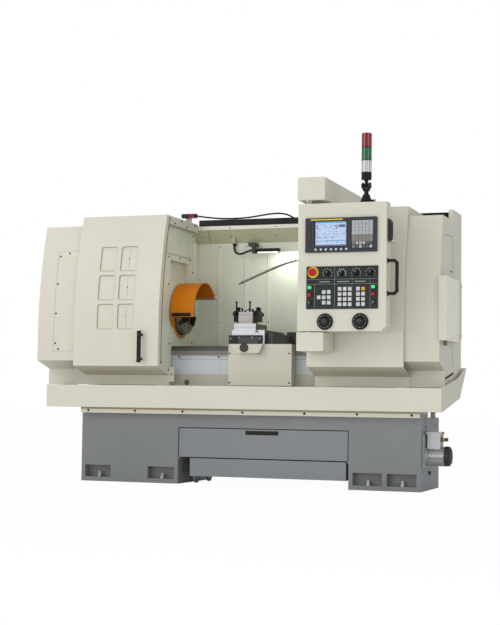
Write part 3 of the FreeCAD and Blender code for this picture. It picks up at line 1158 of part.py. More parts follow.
def make_interlock_box():
    """The doors' interlock switch on a bent bracket that stands on the cover."""
    body = block("lock_left", "lock_right", "lock_y - lock_wide / 2", "lock_y + lock_wide / 2", "lock_z",
                 "lock_z + lock_high")
    body = rounded(body, "3", along("z"))
    riser = block("lock_left + 20", "lock_left + 60", "lock_y + 12", "lock_y + 15", "cover_top", "lock_z + 1")
    foot = block("lock_left + 20", "lock_left + 60", "lock_y + 12", "lock_y + 40", "cover_top", "cover_top + 3")
    keep(union(body, riser, foot), "interlock_box")


def tube(points, radius, name):
    """A round tube of straight runs and tangent arcs through a route."""
    spots = [FreeCAD.Vector(*p) for p in points]
    edges = []
    radii = []
    last = spots[0]
    for before, corner, after in zip(spots, spots[1:], spots[2:]):
        into = (corner - before).normalize()
        out = (after - corner).normalize()
        run = min((corner - before).Length, (after - corner).Length)
        half = into.getAngle(out) / 2
        cut = 0.45 * run
        radii.append(cut / math.tan(half))
        start, end = corner - into * cut, corner + out * cut
        inward = (out - into).normalize()
        centre = corner + inward * (cut / math.sin(half))
        middle = centre - inward * radii[-1]
        edges.append(Part.LineSegment(last, start).toShape())
        edges.append(Part.Arc(start, middle, end).toShape())
        last = end
    edges.append(Part.LineSegment(last, spots[-1]).toShape())
    path = Part.Wire(edges)
    circle = Part.Circle(spots[0], (spots[1] - spots[0]), radius)
    pipe = path.makePipeShell([Part.Wire(circle.toShape())], True, True)
    length = path.Length
    ratio = pipe.Volume / (math.pi * radius ** 2 * length)
    print(f"{name}: length {length:.1f}, tightest arc {min(radii):.1f}, volume ratio {ratio:.4f}")
    item = doc.addObject("Part::Feature", name)
    item.Shape = pipe
    item.Placement = FreeCAD.Placement()
    return item


INTERLOCK_ROUTE = [
    (-463.9, 260, 1652), (-425, 262, 1645), (-360, 268, 1637), (-290, 272, 1631), (-220, 272, 1629.5),
    (-150, 272, 1631), (-85, 272, 1637), (-30, 273, 1645), (20, 275, 1651.5), (68, 280, 1655),
    (112, 290, 1652), (146, 304, 1639), (180, 309, 1616), (220, 308, 1600.5),
]
LAMP_ROUTE = [
    (-219, 288, 1462.5), (-218, 287, 1437), (-206, 283, 1414), (-180, 273, 1404), (-148, 260, 1406),
    (-115, 249, 1418), (-83, 243, 1424),
]
NOZZLE_ROUTE = [
    (300, 296, 1378), (272, 250, 1372), (225, 200, 1350), (163, 150, 1326), (94, 90, 1286), (22, 20, 1240),
    (-42, -42, 1198),
]


def make_cables():
    keep(tube(INTERLOCK_ROUTE, value("cable_radius"), "interlock_cable"), "interlock_cable")
    keep(tube(LAMP_ROUTE, value("conduit_radius"), "lamp_cable"), "lamp_cable")


def make_nozzle():
    """A jointed metal coolant pipe that stands by itself, with its wall fitting and its tip."""
    pipe = tube(NOZZLE_ROUTE, 7, "nozzle_pipe")
    fitting = rod("y", "guard_back_y - sheet_wall - 14", "14", (str(NOZZLE_ROUTE[0][0]), str(NOZZLE_ROUTE[0][2])), "15")
    end, before = FreeCAD.Vector(*NOZZLE_ROUTE[-1]), FreeCAD.Vector(*NOZZLE_ROUTE[-2])
    tip = doc.addObject("Part::Cone", "Tip")
    tip.Radius1, tip.Radius2, tip.Height = 9, 5, 26
    tip.Placement = FreeCAD.Placement(end, FreeCAD.Rotation(FreeCAD.Vector(0, 0, 1), end - before))
    keep(union(pipe, fitting, tip), "coolant_nozzle")


def belt_loop(grow):
    """The loop round both pulleys, with the radii of its arcs; the large arc is in two halves."""
    big = FreeCAD.Vector(value("axis_y"), value("axis_z"), 0)
    small = FreeCAD.Vector(value("motor_y"), value("motor_z"), 0)
    reach = (value("pulley_radius + slide_gap") + grow, value("motor_pulley") + grow)
    run = small - big
    lean = math.acos((reach[0] - reach[1]) / run.Length)
    heading = math.atan2(run.y, run.x)
    spots = []
    for centre, radius, turn, bends in (
            (big, reach[0], lean, True), (big, reach[0], math.pi, True), (big, reach[0], -lean, False),
            (small, reach[1], -lean, True), (small, reach[1], lean, False)):
        turn += heading
        spot = (f"{centre.x + radius * math.cos(turn):.4f}", f"{centre.y + radius * math.sin(turn):.4f}")
        spots.append(spot + (f"{radius:.4f}",) if bends else spot)
    return spots


def make_spindle_drive():
    """The spindle's motor on its bracket before the headstock, with its pulley and the belt."""
    spot = ("motor_y", "motor_z")
    body = turned("x", spot, [
        ("motor_left", "0"), ("motor_left", "motor_radius"), ("motor_left + 16", "motor_radius"),
        ("motor_left + 20", "motor_radius - 6"), ("motor_right - 50", "motor_radius - 6"),
        ("motor_right - 46", "motor_radius"), ("motor_right - 6", "motor_radius"), ("motor_right", "motor_radius - 8"),
        ("motor_right", "0"),
    ])
    shaft = rod("x", "spindle_left + 10", "motor_left - spindle_left - 9", spot, "19")
    wheel = rod("x", "spindle_left + 14", "pulley_wide", spot, "motor_pulley")
    bracket = block("motor_left", "motor_right - 60", "motor_y + 60", "head_front", "motor_z - 30", "motor_z + 30")
    belt = minus(
        pad("yz", "spindle_left + 18", "pulley_wide - 8", belt_loop(value("belt_thick"))),
        pad("yz", "spindle_left + 17", "pulley_wide - 6", belt_loop(0)))
    keep(union(body, shaft, wheel, bracket, belt), "spindle_drive")


def make_all():
    make_stand()
    make_levelling_bolts()
    make_pan()
    make_pan_strip()
    make_bed()
    make_headstock()
    make_spindle()
    make_spindle_drive()
    make_chuck()
    make_jaws()
    make_chuck_guard()
    make_left_cover()
    make_access_panel()
    make_headstock_wall()
    make_rear_guard()
    make_top_rail()
    make_right_guard()
    make_chip_wall()
    make_doors()
    make_door_handle()
    make_cabinet()
    make_side_box()
    make_overhead_arm()
    make_pendant_box()
    make_display_unit()
    make_operator_panel()
    make_controls()
    make_pendant_handle()
    make_tower()
    make_saddle()
    make_apron()
    make_cross_slide()
    make_tool_post()
    make_tool_holders()
    make_z_screw()
    make_z_drive()
    make_tailstock()
    make_quill()
    make_tail_wheel()
    make_drawer()
    make_tank()
    make_pump()
    make_work_lamp()
    make_interlock_box()
    make_cables()
    make_nozzle()


make_all()
doc.recompute()

for item in doc.Objects:
    if "Invalid" in item.State or "Error" in item.State:
        raise RuntimeError(f"{item.Label} did not build: {item.State}")
for item in NODES:
    if item.Shape.isNull() or not item.Shape.isValid() or not item.Shape.Solids:
        raise RuntimeError(f"{item.Label} has no valid shape")

os.makedirs("parts", exist_ok=True)
for item in NODES:
    item.Shape.exportStep(f"parts/{item.Label}.step")
print(f"{len(NODES)} pieces written")
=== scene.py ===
import math

import bmesh
import bpy
from mathutils import Matrix, Vector


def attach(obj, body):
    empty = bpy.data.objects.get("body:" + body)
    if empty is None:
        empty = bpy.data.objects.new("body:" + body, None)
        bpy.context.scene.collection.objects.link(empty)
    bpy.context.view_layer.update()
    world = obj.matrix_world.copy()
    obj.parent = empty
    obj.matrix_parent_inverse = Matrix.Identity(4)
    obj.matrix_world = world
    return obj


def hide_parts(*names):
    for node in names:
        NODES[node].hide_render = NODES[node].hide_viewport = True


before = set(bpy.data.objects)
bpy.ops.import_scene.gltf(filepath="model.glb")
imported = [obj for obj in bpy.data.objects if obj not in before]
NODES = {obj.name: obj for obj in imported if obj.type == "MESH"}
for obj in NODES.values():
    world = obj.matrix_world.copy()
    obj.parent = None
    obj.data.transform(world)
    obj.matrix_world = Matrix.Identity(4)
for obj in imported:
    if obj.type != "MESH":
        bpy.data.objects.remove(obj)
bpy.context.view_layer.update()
X, Y, Z = range(3)


# ---- materials

def fill(node, **values):
    """Sets a node's inputs by name, with _ for a space."""
    for key, value in values.items():
        node.inputs[key.replace("_", " ")].default_value = value


class Surface:
    """A node-based material, new or a copy, with short ways to add nodes to it."""

    def __init__(self, name, source=None):
        self.material = source.copy() if source else bpy.data.materials.new(name)
        if source:
            self.material.name = name
        self.material.use_nodes = True
        self.tree = self.material.node_tree
        self.shader = self.tree.nodes["Principled BSDF"]
        place = self.tree.nodes.get("Texture Coordinate") or self.add("ShaderNodeTexCoord")
        self.place = place.outputs["Object"]

    def add(self, kind, **settings):
        node = self.tree.nodes.new(kind)
        for key, setting in settings.items():
            setattr(node, key, setting)
        return node

    def link(self, out, into):
        self.tree.links.new(out, into)

    def feed(self, thing, into):
        """Gives a socket a colour, a number or another socket's output."""
        if isinstance(thing, (tuple, list)):
            into.default_value = tuple(thing) + ((1.0,) if len(thing) == 3 else ())
        elif isinstance(thing, (int, float)):
            into.default_value = thing
        else:
            self.link(thing, into)

    def noise(self, scale, detail=3.0, rough=0.5, stretch=(1, 1, 1)):
        mapping = self.add("ShaderNodeMapping")
        fill(mapping, Scale=stretch)
        self.link(self.place, mapping.inputs["Vector"])
        node = self.add("ShaderNodeTexNoise")
        fill(node, Scale=scale, Detail=detail, Roughness=rough)
        self.link(mapping.outputs["Vector"], node.inputs["Vector"])
        return node.outputs["Fac"]

    def wave(self, axis, scale):
        node = self.add("ShaderNodeTexWave", wave_type="BANDS", bands_direction=axis)
        fill(node, Scale=scale)
        self.link(self.place, node.inputs["Vector"])
        return node.outputs["Fac"]

    def ramp(self, source, low, high, a=0.35, b=0.65):
        node = self.add("ShaderNodeMapRange")
        fill(node, From_Min=a, From_Max=b, To_Min=low, To_Max=high)
        self.link(source, node.inputs["Value"])
        return node.outputs["Result"]

    def mix(self, factor, one, two, blend="MIX"):
        node = self.add("ShaderNodeMix", data_type="RGBA", blend_type=blend)
        for socket, thing in (("Factor", factor), ("A", one), ("B", two)):
            self.feed(thing, [s for s in node.inputs if s.name == socket and s.enabled][0])
        return [s for s in node.outputs if s.enabled][0]

    def calc(self, operation, *things):
        node = self.add("ShaderNodeMath", operation=operation)
        for thing, into in zip(things, node.inputs):
            self.feed(thing, into)
        return node.outputs[0]

    def bump(self, height, strength, distance):
        node = self.add("ShaderNodeBump")
        fill(node, Strength=strength, Distance=distance)
        self.link(height, node.inputs["Height"])
        self.link(node.outputs["Normal"], self.shader.inputs["Normal"])


def linear(colour):
    """An sRGB colour from 0 to 255 as linear light."""
    return tuple((c / 255 / 12.92) if c <= 10 else (((c / 255) + 0.055) / 1.055) ** 2.4 for c in colour)


def scaled(colour, factor):
    return tuple(min(1.0, c * factor) for c in colour)


SPECK_SHADE = (0.965, 0.965, 0.965)


def paint(name, colour, rough=0.42, mottle=0.05, patch=2.2, grain=420.0, peel=0.12, coat=0.25, metal=0.0,
          stretch=(1, 1, 1), dirt=0.0):
    """Enamel, plastic or metal: a base colour with mottling, grain, dirt and a small bump."""
    s = Surface(name)
    base = linear(colour)
    broad = s.ramp(s.noise(patch, 4.0, 0.6), 0.0, 1.0, 0.3, 0.7)
    tone = s.mix(broad, scaled(base, 1 - mottle), scaled(base, 1 + mottle))
    speck = s.ramp(s.noise(grain, 2.0, 0.6, stretch), 0.0, 1.0)
    tone = s.mix(speck, s.mix(1.0, tone, SPECK_SHADE, "MULTIPLY"), tone)
    if dirt:
        stain = s.ramp(s.noise(9.0, 6.0, 0.7, (1, 1, 0.35)), 0.0, dirt, 0.52, 0.78)
        tone = s.mix(stain, tone, scaled(base, 0.55))
    s.link(tone, s.shader.inputs["Base Color"])
    sheen = s.ramp(s.noise(patch * 7, 3.0, 0.6, stretch), rough - 0.05, rough + 0.07)
    s.link(sheen, s.shader.inputs["Roughness"])
    fill(s.shader, Metallic=metal, Coat_Weight=coat, Coat_Roughness=0.22)
    if min(colour) < 60:
        fill(s.shader, Specular_IOR_Level=0.2)
    s.bump(s.noise(grain, 3.0, 0.55, stretch), peel, 0.0006)
    return s.material


RIB_SCALE = 34


def lens(name, colour, glow=0):
    """A translucent lamp lens with upright ribs, and painted highlights and shade in bands along the ribs."""
    s = Surface(name)
    base = linear(colour)
    ribs = s.wave("X", RIB_SCALE)
    # painted highlights and shade: the colour runs lighter and darker across the ribs
    s.link(s.mix(s.ramp(ribs, 0.0, 1.0, 0.2, 0.8), scaled(base, 0.6), scaled(base, 1.1)),
           s.shader.inputs["Base Color"])
    fill(s.shader, Roughness=0.16, Coat_Weight=0.6, Subsurface_Weight=0.05, Subsurface_Radius=(0.01,) * 3)
    if glow:
        fill(s.shader, Emission_Color=base + (1.0,), Emission_Strength=glow)
    s.bump(ribs, 0.12, 0.0008)
    return s.material


# the third colour is painted shade, for the top of the pan strip under the pan's rim
CREAM, CREAM_MATT, PAN_RIM_SHADE = (214, 209, 192), (206, 201, 182), (150, 143, 114)
BLACK, BEZEL = (22, 22, 24), (58, 60, 64)
# look: material name, colour, roughness, mottling, its size, grain, bump, coat, metal, stretch, dirt
PAINTS = {
    "cream": ("cream_enamel", CREAM, 0.5, 0.03, 1.6, 380, 0.1, 0.12),
    "cream_matt": ("cream_enamel_flat", CREAM_MATT, 0.5, 0.04, 2, 300, 0.14, 0.1),
    "inner": ("inner_enamel", (220, 222, 202), 0.46, 0.05, 2.6, 380, 0.1, 0.25, 0, (1, 1, 1), 0.12),
    "grey": ("grey_enamel", (121, 123, 124), 0.46, 0.05, 2, 360, 0.16, 0.2, 0, (1, 1, 1), 0.1),
    "grey_light": ("grey_enamel_light", (126, 129, 131), 0.44, 0.04, 2.4, 360, 0.14, 0.2),
    "casting": ("pale_casting", (206, 210, 215), 0.5, 0.06, 7, 190, 0.35, 0.15, 0, (1, 1, 1), 0.15),
    "low_wall": ("low_wall_enamel", (188, 184, 168), 0.5, 0.06, 3.5, 300, 0.16, 0.1, 0, (1, 1, 1), 0.2),
    "orange": ("orange_enamel", (204, 116, 4), 0.45, 0.05, 5, 340, 0.1, 0),
    "chuck": ("oiled_iron", (128, 126, 112), 0.36, 0.08, 9, 420, 0.08, 0.1, 0.7),
    "post": ("brushed_steel", (176, 170, 166), 0.45, 0.05, 14, 220, 0.12, 0, 0.45, (1, 1, 12)),
    "nickel": ("dark_nickel", (150, 148, 138), 0.34, 0.1, 30, 300, 0.08, 0, 0.75),
    "red_dark": ("dark_red_moulding", (142, 26, 32), 0.4, 0.08, 30, 500, 0.08, 0.1),
    "ink": ("display_ink", (88, 104, 134), 0.4, 0.05, 60, 500, 0.05, 0),
    # painted highlight: a light cream for the lit edges of the wall's seam covers
    "sheet_edge": ("sheet_edge", (238, 240, 224), 0.4, 0.03, 12, 400, 0.06, 0.2),
    "edge": ("cream_in_shade", (168, 163, 146), 0.5, 0.05, 12, 400, 0.08, 0.05),
    "jaw": ("hardened_steel", (70, 70, 66), 0.34, 0.1, 14, 300, 0.1, 0, 0.9, (1, 8, 1)),
    "steel": ("ground_steel", (176, 178, 180), 0.24, 0.06, 9, 160, 0.12, 0, 1, (0.2, 6, 6)),
    "bright": ("bright_steel", (196, 197, 198), 0.2, 0.06, 20, 260, 0.06, 0, 1),
    "alloy": ("milled_alloy", (214, 215, 218), 0.4, 0.05, 12, 150, 0.12, 0, 0.3, (1, 14, 1)),
    "alloy_cast": ("cast_alloy", (176, 177, 176), 0.42, 0.08, 14, 260, 0.35, 0, 0.75),
    "black": ("black_moulding", (19, 19, 21), 0.44, 0.16, 20, 500, 0.25, 0.05),
    "black_gloss": ("black_gloss", BLACK, 0.2, 0.16, 15, 400, 0.05, 0.4),
    "black_metal": ("black_oxide", (36, 36, 37), 0.36, 0.2, 18, 380, 0.16, 0, 0.7),
    "dark_steel": ("dark_steel", (66, 67, 68), 0.4, 0.15, 18, 380, 0.16, 0, 0.8),
    "rubber": ("black_rubber", (26, 26, 27), 0.62, 0.15, 30, 600, 0.4, 0),
    "recess": ("shadow_gap", (44, 43, 38), 0.8, 0.1, 10, 300, 0.2, 0),
    "bezel": ("bezel_plastic", BEZEL, 0.42, 0.08, 20, 520, 0.3, 0.05),
    "bezel_dark": ("bezel_plastic_dark", (40, 41, 44), 0.42, 0.08, 20, 520, 0.3, 0.05),
    "panel": ("panel_film", (36, 41, 40), 0.36, 0.08, 18, 700, 0.1, 0.1),
    "line": ("panel_ink", (150, 152, 150), 0.45, 0.06, 30, 600, 0.05, 0),
    "keypad": ("keypad_film", (176, 178, 180), 0.4, 0.05, 22, 500, 0.12, 0.1),
    "keypad_low": ("keypad_film_low", (128, 122, 116), 0.4, 0.05, 22, 500, 0.12, 0.1),
    "key": ("key_cap", (204, 205, 202), 0.38, 0.05, 40, 600, 0.08, 0.2),
    "key_dark": ("key_cap_dark", (84, 88, 88), 0.4, 0.08, 40, 600, 0.08, 0.1),
    "key_orange": ("key_cap_yellow", (214, 160, 34), 0.38, 0.05, 40, 600, 0.08, 0.2),
    "yellow": ("yellow_strip", (232, 190, 50), 0.38, 0.05, 30, 500, 0.05, 0.3),
    "red": ("red_moulding", (184, 20, 18), 0.3, 0.08, 30, 500, 0.06, 0.15),
    "white": ("white_mark", (226, 226, 222), 0.45, 0.04, 40, 500, 0.05, 0.1),
    "brass": ("brass", (186, 152, 82), 0.28, 0.1, 24, 300, 0.08, 0, 1),
}
MAT = {look: paint(*facts) for look, facts in PAINTS.items()}
for look, name, colour, glow in (
    ("lens_red", "lens_red", (132, 12, 14), 0),
    ("lens_green", "lens_green", (4, 96, 52), 0),
    ("lens_white", "lens_white", (206, 210, 206), 0),
    ("lit_green", "lit_green", (64, 214, 120), 0.5),
    ("screen_band", "display_band", (84, 168, 200), 0.2),
    ("lamp_glow", "lamp_tube", (244, 250, 226), 0.9),
):
    MAT[look] = lens(name, colour, glow)


def screen_material():
    """The display: a pale blue lit field with faint rows of plain marks."""
    s = Surface("display_screen")
    rows = s.wave("Z", 26.0)
    marks = s.ramp(s.noise(120.0, 2.0, 0.5, (1, 1, 0.4)), 0.0, 1.0, 0.5, 0.56)
    lines = s.ramp(rows, 0.0, 1.0, 0.62, 0.75)
    field = s.mix(s.calc("MULTIPLY", marks, lines), linear((176, 192, 216)), linear((124, 138, 172)))
    s.link(field, s.shader.inputs["Base Color"])
    s.link(field, s.shader.inputs["Emission Color"])
    fill(s.shader, Emission_Strength=0.24, Roughness=0.2)
    return s.material


MAT["screen"] = screen_material()

NODE_LOOK = {
    "cream": ("saddle left_cover access_panel left_door right_door right_guard electrical_cabinet "
              "side_box overhead_arm pendant_box pan apron"),
    "edge": "pan_strip",
    "inner": "headstock_wall rear_guard",
    "grey": "stand",
    "grey_light": "chip_drawer coolant_tank",
    "casting": "bed headstock tailstock",
    "low_wall": "chip_wall",
    "orange": "chuck_guard",
    "chuck": "chuck_body",
    "jaw": "jaw_1 jaw_2 jaw_3",
    "steel": "spindle quill z_screw",
    "alloy": "cross_slide",
    "alloy_cast": "coolant_pump levelling_bolts",
    "nickel": "coolant_nozzle",
    "black": ("left_door_handle pendant_handle tower_base tower_collar hand_wheel_1 hand_wheel_2 "
              "mode_knob_1 mode_knob_2 mode_knob_3 mode_knob_4 work_lamp"),
    "black_metal": "top_rail tool_holders z_drive spindle_drive tail_handwheel",
    "bezel": "display_unit",
    "panel": "operator_panel",
    "red": "e_stop",
    "lens_red": "lens_red",
    "lens_green": "lens_green",
    "lens_white": "lens_white",
    "rubber": "interlock_cable lamp_cable",
}


def dress(name, material):
    """Puts one material in every slot of a CAD node."""
    slots = NODES[name].data.materials
    if not slots:
        slots.append(material)
    for i in range(len(slots)):
        slots[i] = material


for look, names in NODE_LOOK.items():
    for name in names.split():
        dress(name, MAT[look])


# ---- looks that change over one node

FAR = 9.0
AREA_GRAIN, AREA_DARK, AREA_LIGHT = 60, 0.9, 1.08
OPEN = (-FAR, FAR)


def area(colour, x=OPEN, y=OPEN, z=OPEN):
    """A box of another colour, from its range on each axis where it ends."""
    return colour, (x, y, z)


def regions(name, look, areas):
    """One node's material whose colour changes inside areas; a later area covers an earlier one."""
    s = Surface(name, MAT[look])
    split = s.add("ShaderNodeSeparateXYZ")
    s.link(s.place, split.inputs["Vector"])
    base = s.shader.inputs["Base Color"].links[0].from_socket
    grain = s.add("ShaderNodeTexNoise")
    fill(grain, Scale=AREA_GRAIN)
    s.link(s.place, grain.inputs["Vector"])
    for colour, ranges in areas:
        inside = None
        for axis, (low, high) in enumerate(ranges):
            for limit, kind in ((low, "GREATER_THAN"), (high, "LESS_THAN")):
                if abs(limit) < FAR:
                    test = s.calc(kind, split.outputs[axis], limit)
                    inside = test if inside is None else s.calc("MULTIPLY", inside, test)
        tone = linear(colour)
        shade = s.mix(grain.outputs["Fac"], scaled(tone, AREA_DARK), scaled(tone, AREA_LIGHT))
        base = s.mix(inside, base, shade)
    s.link(base, s.shader.inputs["Base Color"])
    return s.material


ORANGE, WAY, OILY = (226, 142, 22), (66, 64, 60), (96, 94, 80)
PATCHED = {
    "bed": ("casting", area((122, 118, 112), z=(0.758, FAR)), area(WAY, z=(0.7855, FAR))),
    "headstock_wall": (
        "inner", area(ORANGE, (-0.4745, -0.47), (-0.101, 0.1992), (0.86, 1.17)),
        area((226, 222, 202), (-0.4749, -0.46), (0.2002, 0.2495), (0.82, 1.54)),
        area((120, 116, 98), (-0.4749, -0.46), (0.2495, 0.2496), (0.82, 1.54))),
    "rear_guard": (
        "inner", area(BLACK, (-0.106, -0.0605), (0.2, 0.3065), (1.4, 1.471)),
        area(BLACK, (-0.23, -0.208), (0.27, 0.31), (1.46, 1.474)),
        # painted light and shade on the header: its front strip is lighter, and its sloped underside is a
        # darker olive
        area((228, 226, 212), y=(0.2605, 0.2625), z=(1.5585, 1.584)),
        area(CREAM, y=(0.3095, FAR)), area((184, 184, 152), y=(0.261, 0.306), z=(1.4765, 1.5575))),
    "saddle": (
        "cream", area(BLACK, (0.0, 0.06), (-0.21, -0.2005), (0.77, 0.83)),
        area((52, 52, 54), (0.146, 0.183), (-0.1205, 0.301), (0.8225, 0.9)),
        area(BLACK, (0.151, 0.211), (0.239, 0.301), (0.8225, 0.915)),
        area((60, 60, 62), z=(0.8225, FAR)), area(WAY, y=(-0.09, 0.2), z=(0.6, 0.8065))),
    "cross_slide": (
        "alloy", area(OILY, (0.1435, FAR), (-0.161, FAR)),
        area(OILY, (0.0655, 0.0665), (-0.0975, FAR), (0.9055, FAR)), area(BLACK, y=(-FAR, -0.16205))),
    "chuck_guard": ("orange", area(BLACK, y=(-FAR, -0.14005)), area((150, 150, 148), y=(0.2005, FAR))),
    "interlock_box": (
        "red_dark", area(CREAM_MATT, z=(-FAR, 1.6398)), area(BLACK, (-FAR, -0.508), z=(1.6398, 1.664)),
        area(BLACK, (-0.477, FAR), z=(1.6398, FAR))),
    "chip_wall": ("low_wall", area((214, 210, 196), y=(-FAR, -0.0895)),
                  area((72, 74, 76), (-0.4, -0.33), (-FAR, -0.09), (0.55, 0.63))),
    "tool_post": ("post", area(BLACK, (0.004, 0.03), (-0.08, -0.045), (1.0172, FAR))),
    # painted light on the box's right face, which is lighter, and painted shade on its underside, which is
    # dark grey
    "side_box": ("cream", area((238, 233, 216), (1.2575, FAR), (-FAR, -0.001), (0.8355, 1.1895)),
                 area((92, 92, 90), z=(-FAR, 0.8349))),
    "coolant_pump": ("alloy_cast", area((58, 58, 60), (1.22, FAR), z=(-FAR, 0.27)),
                     area((176, 142, 76), (1.199, FAR), (-0.2, FAR), (0.27, FAR))),
    "display_unit": (
        "bezel", area((172, 174, 176), (0.783, 0.903), (-FAR, -0.586), (1.399, 1.477)),
        area((150, 143, 136), (0.783, 0.903), (-FAR, -0.586), (1.361, 1.399)),
        area(BEZEL, (0.783, 0.903), (-FAR, -0.586), (1.321, 1.361))),
    "operator_panel": ("panel", area((214, 176, 40), (0.532, 0.598), (-FAR, -0.5802), (1.163, 1.229))),
    # painted shade: the top of the strip, under the pan's rim, is darker
    "pan_strip": ("cream_matt", area(PAN_RIM_SHADE, z=(0.429, FAR))),
    "tailstock": ("casting", area(BLACK, z=(1.0822, FAR))),
}
for name, (look, *areas) in PATCHED.items():
    dress(name, regions(name + "_paint", look, areas))


# ---- pieces

LEFT, RIGHT, FRONT, BACK, DOWN, UP = (-1, 0, 0), (1, 0, 0), (0, -1, 0), (0, 1, 0), (0, 0, -1), (0, 0, 1)
SMOOTH_BELOW = math.radians(32)
SPINDLE_Y, SPINDLE_Z = 0.05, 1.015
KITS = []


def placed(axis, at, pair):
    """A spot from its coordinate on one axis and the pair of the other two."""
    return (*pair[:axis], at, *pair[axis:])


def turns(count):
    return [2 * math.pi * i / count for i in range(count)]


def evenly(low, high, count):
    return [low + (high - low) * i / count for i in range(count + 1)]


def wheel(y, z, reach, angle):
    """Where a circle about an axis along x is at an angle: y and z."""
    return y + reach * math.cos(angle), z + reach * math.sin(angle)


def dial(x, z, reach, angle):
    """Where a circle about an axis along y is at an angle, clockwise from its top: x and z."""
    return x + reach * math.sin(angle), z + reach * math.cos(angle)


def add_object(name, data):
    item = bpy.data.objects.new(name, data)
    bpy.context.collection.objects.link(item)
    return item


class Kit:
    """Gathers small plain forms into one piece, each with a look from the list."""

    def __init__(self, name, body, slot, looks):
        self.name, self.body, self.slot, self.looks = name, body, slot, looks.split()
        self.form = bmesh.new()
        self.painted = self.form.faces.layers.int.new("painted")
        KITS.append(self)

    def _close(self, faces, look, bevel=0.0):
        """Softens the edges of a new form and gives every face that isn't painted yet its look."""
        if bevel:
            edges = list({e for f in faces for e in f.edges})
            bmesh.ops.bevel(self.form, geom=edges, offset=bevel, segments=2, affect="EDGES",
                            clamp_overlap=True)
        for face in self.form.faces:
            if not face[self.painted]:
                face.material_index = look
                face[self.painted] = 1

    def _face(self, *spots):
        return self.form.faces.new(spots)

    def box(self, low, high, look=0, bevel=0.0, turn=None):
        spots = bmesh.ops.create_cube(self.form, size=1.0)["verts"]
        size = [h - l for l, h in zip(low, high)]
        middle = Vector([(l + h) / 2 for l, h in zip(low, high)])
        for spot in spots:
            spot.co = Vector([c * s for c, s in zip(spot.co, size)])
            if turn is not None:
                spot.co = turn @ spot.co
            spot.co += middle
        self._close({f for s in spots for f in s.link_faces}, look, bevel)

    def lathe(self, start, way, points, look=0, sides=28):
        """A turned form: points are (distance along way, radius), from one end to the other."""
        way = Vector(way).normalized()
        turn = way.to_track_quat("Z", "Y").to_matrix()
        rings = []
        for far, radius in points:
            ring = []
            for angle in turns(sides if radius else 1):
                spot = Vector((radius * math.cos(angle), radius * math.sin(angle), far))
                ring.append(self.form.verts.new(Vector(start) + turn @ spot))
            rings.append(ring)
        for one, two in zip(rings, rings[1:]):
            for i in range(sides):
                j = (i + 1) % sides
                if len(one) == 1:
                    self._face(one[0], two[j], two[i])
                elif len(two) == 1:
                    self._face(one[i], one[j], two[0])
                else:
                    self._face(one[i], one[j], two[j], two[i])
        for ring in (rings[0][::-1], rings[-1]):
            if len(ring) > 1:
                self._face(*ring)
        self._close((), look)

    def rod(self, start, way, long, radius, look=0, sides=28):
        self.lathe(start, way, [(0, radius), (long, radius)], look, sides)

    def ring(self, start, way, radius, wide, look=0, sides=36, low=0.0, high=0.0):
        """A square-edged ring with its outer radius and width, between two distances."""
        inner = radius - wide
        self.lathe(start, way, [(low, radius), (high, radius), (high, inner), (low, inner)], look, sides)

    def screw(self, spot, way, radius=0.006, look=0, dark=1):
        """A round-headed socket screw on a face."""
        high, socket = radius * 0.6, radius * 0.42
        head = [(-0.0006, radius), (radius * 0.35, radius), (high, radius * 0.72)]
        self.lathe(spot, way, head, look, 16)
        self.rod(Vector(spot) + Vector(way).normalized() * high, way, 0.0003, socket, dark, 6)

    def screws(self, axis, at, out, radius, pairs, look=0, dark=1):
        """Screws on a flat face square to an axis, at pairs of the other two coordinates."""
        for pair in pairs:
            self.screw(placed(axis, at, pair), placed(axis, out, (0, 0)), radius, look, dark)

    def strip(self, points, wide, way, thick, look=0):
        """A flat ribbon through points, as wide as given along one direction."""
        side = Vector(way).normalized() * wide / 2
        rows = []
        for i, spot in enumerate(points):
            before = Vector(points[max(i - 1, 0)])
            after = Vector(points[min(i + 1, len(points) - 1)])
            up = side.cross(after - before).normalized() * thick
            spot = Vector(spot)
            corners = (spot - side, spot + side, spot + side + up, spot - side + up)
            rows.append([self.form.verts.new(corner) for corner in corners])
        self._face(*rows[0][::-1])
        self._face(*rows[-1])
        for one, two in zip(rows, rows[1:]):
            for i in range(4):
                j = (i + 1) % 4
                self._face(one[i], one[j], two[j], two[i])
        self._close((), look)

    def done(self):
        bmesh.ops.recalc_face_normals(self.form, faces=self.form.faces[:])
        mesh = bpy.data.meshes.new(self.name)
        self.form.to_mesh(mesh)
        self.form.free()
        item = add_object(self.name, mesh)
        for look in self.looks:
            mesh.materials.append(MAT[look])
        for polygon in mesh.polygons:
            polygon.use_smooth = True
        mesh.set_sharp_from_angle(angle=SMOOTH_BELOW)
        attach(item, self.body)


def screw_kit(name, body="frame", more=""):
    return Kit(name, body, "dark_steel", "dark_steel recess " + more)


# ---- cables

def cable(name, points, **facts):
    """A cable on a smooth curve through the route of its solid, given in millimetres."""
    curve = bpy.data.curves.new(name + "_line", "CURVE")
    curve.dimensions = "3D"
    curve.bevel_depth = facts["diameter"] / 2
    curve.bevel_resolution = 5
    curve.resolution_u = 12
    curve.use_fill_caps = True
    spline = curve.splines.new("NURBS")
    spline.points.add(len(points) - 1)
    for point, spot in zip(spline.points, points):
        point.co = tuple(c / 1000 for c in spot) + (1.0,)
    spline.order_u = 3
    spline.use_endpoint_u = True
    item = add_object(name + "_line", curve)
    curve.materials.append(MAT["rubber"])
    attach(item, "frame")
    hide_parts(name)


